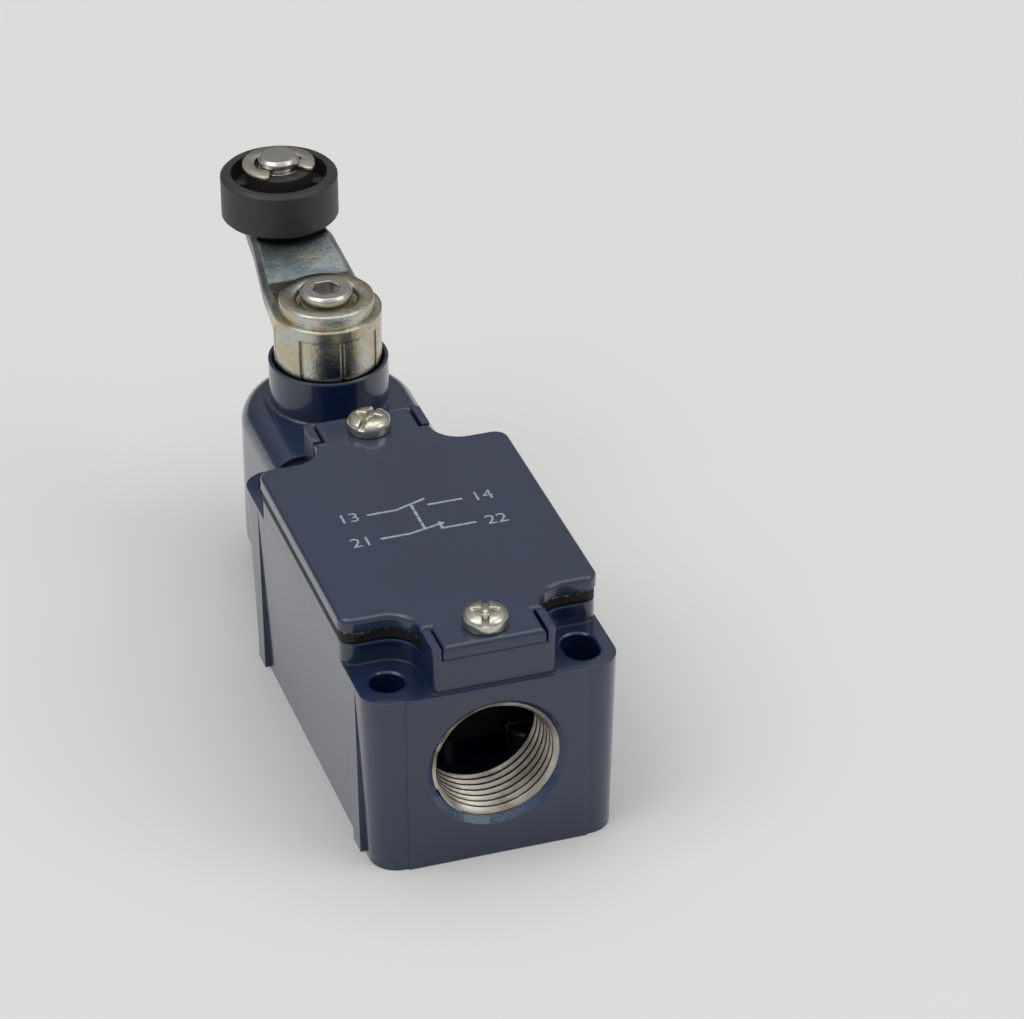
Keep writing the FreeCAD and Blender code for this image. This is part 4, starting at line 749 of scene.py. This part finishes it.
@dataclass
class LidScrews:
    """The two screws that hold the lid, with a slot and a cross in their heads."""

    head_radius: float = 3.5
    seat: float = 37.8
    head_height: float = 2.5
    shank_radius: float = 1.97
    tip: float = 29.8
    slot_half: float = 0.56
    slot_depth: float = 1.15
    cross_half: float = 0.5
    cross_reach: float = 2.25
    cross_depth: float = 1.7
    turns: tuple[tuple[str, float], ...] = (("near", 17.0), ("far", 37.0))

    def profile(self) -> list[tuple[float, float]]:
        """The head's domed outline and the shank below it."""
        top = self.seat + self.head_height
        head = [(0.0, top), (1.7, top - 0.02), (2.45, top - 0.12), (2.95, top - 0.32),
                (3.3, top - 0.62), (3.46, top - 0.98), (self.head_radius, top - 1.4),
                (self.head_radius, self.seat + 0.12), (self.head_radius - 0.12, self.seat)]
        shank = [(self.shank_radius, self.seat), (self.shank_radius, self.tip + 0.5),
                 (self.shank_radius - 0.5, self.tip), (0.0, self.tip)]
        return head + shank

    def cross(self) -> list[tuple[float, float]]:
        """The outline of the cross recess."""
        arm, reach = self.cross_half, self.cross_reach
        flare = arm * 1.25
        return [(arm, arm), (reach, flare * 0.8), (reach + 0.15, 0.0), (reach, -flare * 0.8),
                (arm, -arm), (flare * 0.8, -reach), (-flare * 0.8, -reach), (-arm, -arm),
                (-reach, -flare * 0.8), (-reach - 0.15, 0.0), (-reach, flare * 0.8), (-arm, arm),
                (-flare * 0.8, reach), (flare * 0.8, reach)]

    def make(self) -> None:
        """Build both screws."""
        top = self.seat + self.head_height
        for side, turn in self.turns:
            low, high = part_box(f"lid_screw_{side}")
            centre = ((low[0] + high[0]) / 2 / MILLIMETRE, (low[1] + high[1]) / 2 / MILLIMETRE)
            screw = lathe(f"lid_screw_{side}_head", self.profile(), centre)
            reach = self.head_radius + 0.5
            bar = [(-self.slot_half, -reach), (self.slot_half, -reach),
                   (self.slot_half, reach), (-self.slot_half, reach)]
            slot = plate("slot_cutter", turned_points(bar, turn, centre),
                         top - self.slot_depth, self.slot_depth + 1.0)
            carve(screw, slot)
            recess = plate("cross_cutter", turned_points(self.cross(), turn, centre),
                           top + 0.05, -self.cross_depth, taper=0.42)
            carve(screw, recess)
            soften(screw, 0.09, segments=2, angle=28.0)
            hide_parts(f"lid_screw_{side}")
            fit_out(screw, "enclosure", Slot.SCREW)


@dataclass
class EntryThread:
    """The cut thread inside the cable entry."""

    level: float = 16.4
    pitch: float = 1.5
    crest: float = 9.2
    root: float = 9.94
    front: float = -35.35
    back: float = -24.6
    lead: float = 2.4
    turns: int = 8
    steps: int = 96

    def make(self) -> None:
        """Sweep one tooth round and along the entry, and cut both ends square."""
        start = self.front - self.pitch
        tooth = ((self.root, 0.0), (self.root, 0.12), (self.crest + 0.06, 0.56),
                 (self.crest, 0.64), (self.crest, 0.94), (self.crest + 0.06, 1.02),
                 (self.root, 1.42), (self.root, self.pitch))
        piece = trace("entry_thread", [(radius, start + along, 0.0) for radius, along in tooth])
        bpy.ops.object.mode_set(mode="OBJECT")
        apply_modifier(piece, "SCREW", {
            "axis": "Y", "angle": math.tau, "screw_offset": self.pitch * MILLIMETRE,
            "iterations": self.turns, "steps": self.steps, "render_steps": self.steps,
            "use_merge_vertices": True, "merge_threshold": 0.00001})
        for place, outer in ((self.front, False), (self.back, True)):
            choose(piece)
            bpy.ops.object.mode_set(mode="EDIT")
            bpy.ops.mesh.select_all(action="SELECT")
            bpy.ops.mesh.bisect(plane_co=in_metres((0, place, 0)), plane_no=(0, 1, 0),
                                clear_inner=not outer, clear_outer=outer)
            bpy.ops.object.mode_set(mode="OBJECT")
        for vertex in piece.data.vertices:
            radius = math.hypot(vertex.co.x, vertex.co.z)
            bevel = (self.root - self.lead * (vertex.co.y / MILLIMETRE - self.front)) * MILLIMETRE
            wanted = min(max(radius, bevel), self.root * MILLIMETRE)
            vertex.co.x *= wanted / radius
            vertex.co.z *= wanted / radius
        apply_modifier(piece, "SOLIDIFY", {"thickness": 0.05 * MILLIMETRE, "offset": 0.0})
        piece.location = in_metres((0, 0, self.level))
        choose(piece)
        bpy.ops.object.mode_set(mode="EDIT")
        close_up(piece)
        fit_out(piece, "enclosure", Slot.ENAMEL, BareCasting().make(), smooth=50.0)


@dataclass
class LidPrint:
    """A plain contact diagram printed on the lid, with its terminal numbers."""

    level: float = 37.79
    ink: float = 0.03
    step: float = 0.002
    line: float = 0.46
    number_size: float = 3.6
    numbers: tuple[tuple[str, float, float], ...] = (
        ("13", -12.6, 2.4), ("14", 8.8, 2.4), ("21", -12.6, -4.8), ("22", 8.8, -4.8))
    strokes: tuple[tuple[float, float, float, float], ...] = (
        (-7.6, 3.6, -3.2, 3.6), (2.0, 3.6, 7.2, 3.6), (-3.2, 3.6, 1.7, 5.4),
        (-7.6, -3.6, -3.2, -3.6), (2.0, -3.6, 7.2, -3.6), (-3.2, -3.6, 2.5, -2.2),
        (2.0, -3.6, 2.0, -1.9))
    dashes: tuple[float, ...] = (-2.5, -0.7, 1.1, 2.9)
    dash_length: float = 1.1
    link_across: float = -0.6

    def stroke(self, ends: Sequence[float], number: int) -> bpy.types.Object:
        """One printed line between two points.

        Args:
            ends: x and y of its start, then x and y of its end, in millimetres.
            number: The line's number in the diagram.

        Returns:
            The line's piece.
        """
        along = Vector((ends[2] - ends[0], ends[3] - ends[1])).normalized() * self.line / 2
        side = Vector((-along.y, along.x))
        first, last = Vector(ends[:2]) - along, Vector(ends[2:]) + along
        corners = (first - side, last - side, last + side, first + side)
        return plate(f"diagram_line_{number}", [tuple(c) for c in corners], self.level,
                     self.ink + self.step * number)

    def number(self, text: str, x: float, y: float) -> bpy.types.Object:
        """One terminal number, as a raised mesh."""
        clear_selection()
        bpy.ops.object.text_add(location=in_metres((x, y, self.level)))
        label = bpy.context.object
        label.data.body = text
        label.data.size = self.number_size * MILLIMETRE
        label.data.extrude = self.ink * MILLIMETRE
        label.data.resolution_u = 6
        bpy.ops.object.convert(target="MESH")
        label = bpy.context.object
        label.name = f"terminal_{text}"
        bpy.ops.object.mode_set(mode="EDIT")
        return close_up(label)

    def make(self) -> None:
        """Build the diagram as one printed piece."""
        lines = [*self.strokes]
        for place in self.dashes:
            lines.append((self.link_across, place, self.link_across, place + self.dash_length))
        parts = [self.stroke(ends, number) for number, ends in enumerate(lines)]
        parts += [self.number(*entry) for entry in self.numbers]
        clear_selection()
        for part in parts:
            part.select_set(True)
        bpy.context.view_layer.objects.active = parts[0]
        bpy.ops.object.transform_apply(location=True, rotation=True, scale=True)
        bpy.ops.object.join()
        diagram = bpy.context.object
        diagram.name = "contact_diagram"
        fit_out(diagram, "enclosure", Slot.ENAMEL, Ink().make())


@dataclass
class GasketFoam:
    """The foam under the lid, uneven along its cut edge."""

    voxel: float = 0.24
    swell: float = 0.22
    cell: float = 0.7
    wave: float = 0.16
    wave_length: float = 6.0

    def make(self) -> None:
        """Build the foam from the gasket's own shape."""
        node = frame["nodes"]["lid_gasket"]
        foam = bpy.data.objects.new("lid_gasket_foam", node.data.copy())
        bpy.context.scene.collection.objects.link(foam)
        choose(foam)
        bpy.ops.object.mode_set(mode="EDIT")
        close_up(foam)
        apply_modifier(foam, "REMESH", {"mode": "VOXEL", "voxel_size": self.voxel * MILLIMETRE})
        for name, scale, strength in (("foam_wave", self.wave_length, self.wave),
                                      ("foam_cell", self.cell, self.swell)):
            cells = bpy.data.textures.new(name, "CLOUDS")
            cells.noise_scale = scale * MILLIMETRE
            apply_modifier(foam, "DISPLACE", {
                "texture": cells, "strength": strength * MILLIMETRE, "mid_level": 0.62,
                "texture_coords": "LOCAL"})
        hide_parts("lid_gasket")
        fit_out(foam, "enclosure", Slot.FOAM, smooth=80.0)


@dataclass
class HubDisc:
    """The serrated disc under the clamp screw's head."""

    centre: tuple[float, float] = (0.0, 51.5)
    top: float = 49.7
    seat: float = 47.62
    rim: float = 7.78
    shoulder: float = 7.62
    bore: float = 5.25
    tooth: float = 0.34
    eye: float = 4.25
    floor: float = 48.5
    teeth: int = 72

    def make(self) -> None:
        """Turn the disc, then press the teeth into its bore."""
        profile = [(self.eye, self.floor), (self.bore, self.floor), (self.bore, self.top - 0.3),
                   (self.bore + 0.1, self.top - 0.07), (self.bore + 0.26, self.top),
                   (self.shoulder - 0.2, self.top), (self.shoulder - 0.05, self.top - 0.06),
                   (self.shoulder, self.top - 0.2), (self.shoulder + 0.04, self.seat + 1.0),
                   (self.shoulder + 0.1, self.seat + 0.55), (self.rim, self.seat + 0.28),
                   (self.rim, self.seat), (self.bore + 1.0, self.seat),
                   (self.bore + 0.98, self.seat - 3.0), (self.eye, self.seat - 3.0),
                   (self.eye, self.floor)]
        disc = lathe("hub_disc", profile, self.centre, steps=self.teeth * 2)
        for vertex in disc.data.vertices:
            x = vertex.co.x / MILLIMETRE - self.centre[0]
            y = vertex.co.y / MILLIMETRE - self.centre[1]
            z = vertex.co.z / MILLIMETRE
            radius = math.hypot(x, y)
            step = round(math.atan2(y, x) / math.tau * self.teeth * 2)
            in_bore = (self.eye + 0.5 < radius < self.bore + 0.05
                       and self.floor - 0.01 < z < self.top - 0.01)
            if in_bore and step % 2:
                grown = (radius - self.tooth) / radius
                vertex.co.x = (self.centre[0] + x * grown) * MILLIMETRE
                vertex.co.y = (self.centre[1] + y * grown) * MILLIMETRE
        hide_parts("serrated_disc")
        fit_out(disc, "lever", Slot.CHROMATE, smooth=28.0)


@dataclass
class RollerClip:
    """The open clip that keeps the roller on its pin."""

    centre: tuple[float, float] = (0.0, 78.5)
    bottom: float = 59.8
    thickness: float = 0.7
    outer: float = 5.92
    seat: float = 2.62
    notch: float = 3.95
    mouth: float = 40.0
    facing: float = 172.4
    edge: float = 0.1

    def arc(self, radius: float, start: float, end: float,
            count: int) -> list[tuple[float, float]]:
        """Points of an arc, by degrees from the mouth's middle."""
        places = []
        for index in range(count + 1):
            angle = math.radians(start + (end - start) * index / count)
            places.append((radius * math.sin(angle), radius * math.cos(angle)))
        return places

    def outline(self) -> list[tuple[float, float]]:
        """The clip's outline: its round back, two hooked tips and three seats on the pin."""
        mouth = self.mouth
        back = self.arc(self.outer, mouth + 5.0, 355.0 - mouth, 56)
        tip = self.arc(self.outer - 0.45, 360.0 - mouth, 360.0 - mouth, 1)[:1]
        inner = self.arc(self.seat + 1.2, 360.0 - mouth - 4.0, 360.0 - mouth - 4.0, 1)[:1]
        inner += self.arc(self.seat, 300.0, 284.0, 4) + self.arc(self.notch, 278.0, 206.0, 12)
        inner += self.arc(self.seat, 200.0, 160.0, 8) + self.arc(self.notch, 154.0, 82.0, 12)
        inner += self.arc(self.seat, 76.0, 60.0, 4)
        inner += self.arc(self.seat + 1.2, mouth + 4.0, mouth + 4.0, 1)[:1]
        last = self.arc(self.outer - 0.45, mouth, mouth, 1)[:1]
        return back + tip + inner + last

    def make(self) -> None:
        """Build the clip."""
        outline = turned_points(self.outline(), self.facing, self.centre)
        clip = plate("roller_clip", outline, self.bottom, self.thickness)
        soften(clip, self.edge, segments=2)
        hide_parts("retaining_clip")
        fit_out(clip, "lever", Slot.TURNED, PlatedMetal(
            "clip_nickel", (0.58, 0.54, 0.46), (0.5, 0.46, 0.39), (0.42, 0.41, 0.38),
            roughness=0.34, film_share=0.4, stain=300.0, bump=0.06).make())


@dataclass
class Studio:
    """Pale floor, soft light and the camera where the photographer stood."""

    camera_place: Point = (-0.17196, -0.57419, 0.40749)
    azimuth: float = -17.97
    elevation: float = 31.57
    roll: float = -0.43
    lens: float = 162.41
    floor_size: float = 8.0
    floor_colour: Colour = (0.74, 0.74, 0.73)
    sky_level: float = 0.31
    sky_rise: float = 0.42
    far_wall: float = 0.19
    backdrop_colour: Colour = (0.73, 0.73, 0.72)
    target: Point = (0.0, 0.02, 0.02)
    lamps: tuple[tuple[str, Point, float, float], ...] = (
        ("key", (-1.0, -0.1, 1.6), 1.2, 8.0), ("top", (0.2, 0.3, 1.9), 1.6, 7.5),
        ("fill", (1.1, -0.7, 1.1), 0.9, 4.0))

    def make_camera(self) -> None:
        """Set the camera to the view of the photograph."""
        data = bpy.data.cameras.new("camera")
        data.lens = self.lens
        data.clip_start = 0.01
        camera = bpy.data.objects.new("camera", data)
        bpy.context.scene.collection.objects.link(camera)
        turn, lift, lean = (math.radians(a) for a in (self.azimuth, self.elevation, self.roll))
        back = Vector((math.sin(turn) * math.cos(lift), -math.cos(turn) * math.cos(lift),
                       math.sin(lift)))
        right = Vector((0, 0, 1)).cross(back).normalized()
        upward = back.cross(right)
        side = right * math.cos(lean) + upward * math.sin(lean)
        top = upward * math.cos(lean) - right * math.sin(lean)
        rotation = Matrix((side, top, back)).transposed().to_4x4()
        camera.matrix_world = Matrix.Translation(self.camera_place) @ rotation
        bpy.context.scene.camera = camera

    def make_floor(self) -> None:
        """Lay a plain pale floor under the switch."""
        clear_selection()
        bpy.ops.mesh.primitive_plane_add(size=self.floor_size, location=(0, 0, 0))
        floor = bpy.context.object
        floor.name = "floor"
        material, build, shader = start_material("paper_floor")
        noise = build.add("ShaderNodeTexNoise", Vector=build.place(), Scale=14.0, Detail=4.0)
        low = tuple(value * 0.985 for value in self.floor_colour)
        build.feed(shader, "Base Color", build.mix(noise.outputs["Fac"], low, self.floor_colour))
        shader.inputs["Roughness"].default_value = 0.9
        shader.inputs["Specular IOR Level"].default_value = 0.1
        floor.data.materials.append(material)

    def make_sky(self) -> None:
        """Light the room evenly, and show the same pale tone behind the floor."""
        world = bpy.data.worlds.new("room")
        bpy.context.scene.world = world
        world.use_nodes = True
        world.node_tree.nodes.clear()
        build = Tree(world.node_tree)
        path = build.add("ShaderNodeLightPath")
        direction = build.add("ShaderNodeTexCoord").outputs["Generated"]
        parts = build.add("ShaderNodeSeparateXYZ", Vector=direction)
        height = build.maths("MULTIPLY", build.ramp(parts.outputs[2], 0.0, 0.95), self.sky_rise)
        wall = build.maths("MULTIPLY", build.ramp(parts.outputs[1], 0.1, 0.85), self.far_wall)
        level = build.maths("SUBTRACT", build.maths("ADD", height, self.sky_level), wall)
        lit = build.add("ShaderNodeBackground", Color=(1.0, 1.0, 1.0), Strength=level)
        seen = build.add("ShaderNodeBackground", Color=self.backdrop_colour, Strength=1.0)
        both = build.add("ShaderNodeMixShader")
        build.feed(both, 0, path.outputs["Is Camera Ray"])
        build.feed(both, 1, lit.outputs[0])
        build.feed(both, 2, seen.outputs[0])
        build.add("ShaderNodeOutputWorld", Surface=both.outputs[0])

    def make_lamp(self, name: str, place: Point, size: float, power: float) -> None:
        """Hang one soft square lamp that faces the switch.

        Args:
            name: The lamp's name.
            place: Where it hangs.
            size: The length of its sides.
            power: Its power in watts.
        """
        data = bpy.data.lights.new(name, "AREA")
        data.size = size
        data.energy = power
        lamp = bpy.data.objects.new(name, data)
        bpy.context.scene.collection.objects.link(lamp)
        aim = Vector(self.target) - Vector(place)
        lamp.rotation_euler = aim.to_track_quat("-Z", "Y").to_euler()
        lamp.location = place

    def make(self) -> None:
        """Set up the whole studio."""
        self.make_camera()
        self.make_floor()
        self.make_sky()
        for lamp in self.lamps:
            self.make_lamp(*lamp)
        bpy.context.scene.view_settings.view_transform = "Standard"


def main() -> None:
    """Dress the switch and set the studio around it."""
    logging.basicConfig(level=logging.INFO, format="%(message)s")
    make_edge_group()
    make_grain_group()
    dress_nodes()
    for part in (LidScrews(), EntryThread(), LidPrint(), GasketFoam(), HubDisc(), RollerClip()):
        part.make()
    Studio().make()


if __name__ == "__main__":
    main()
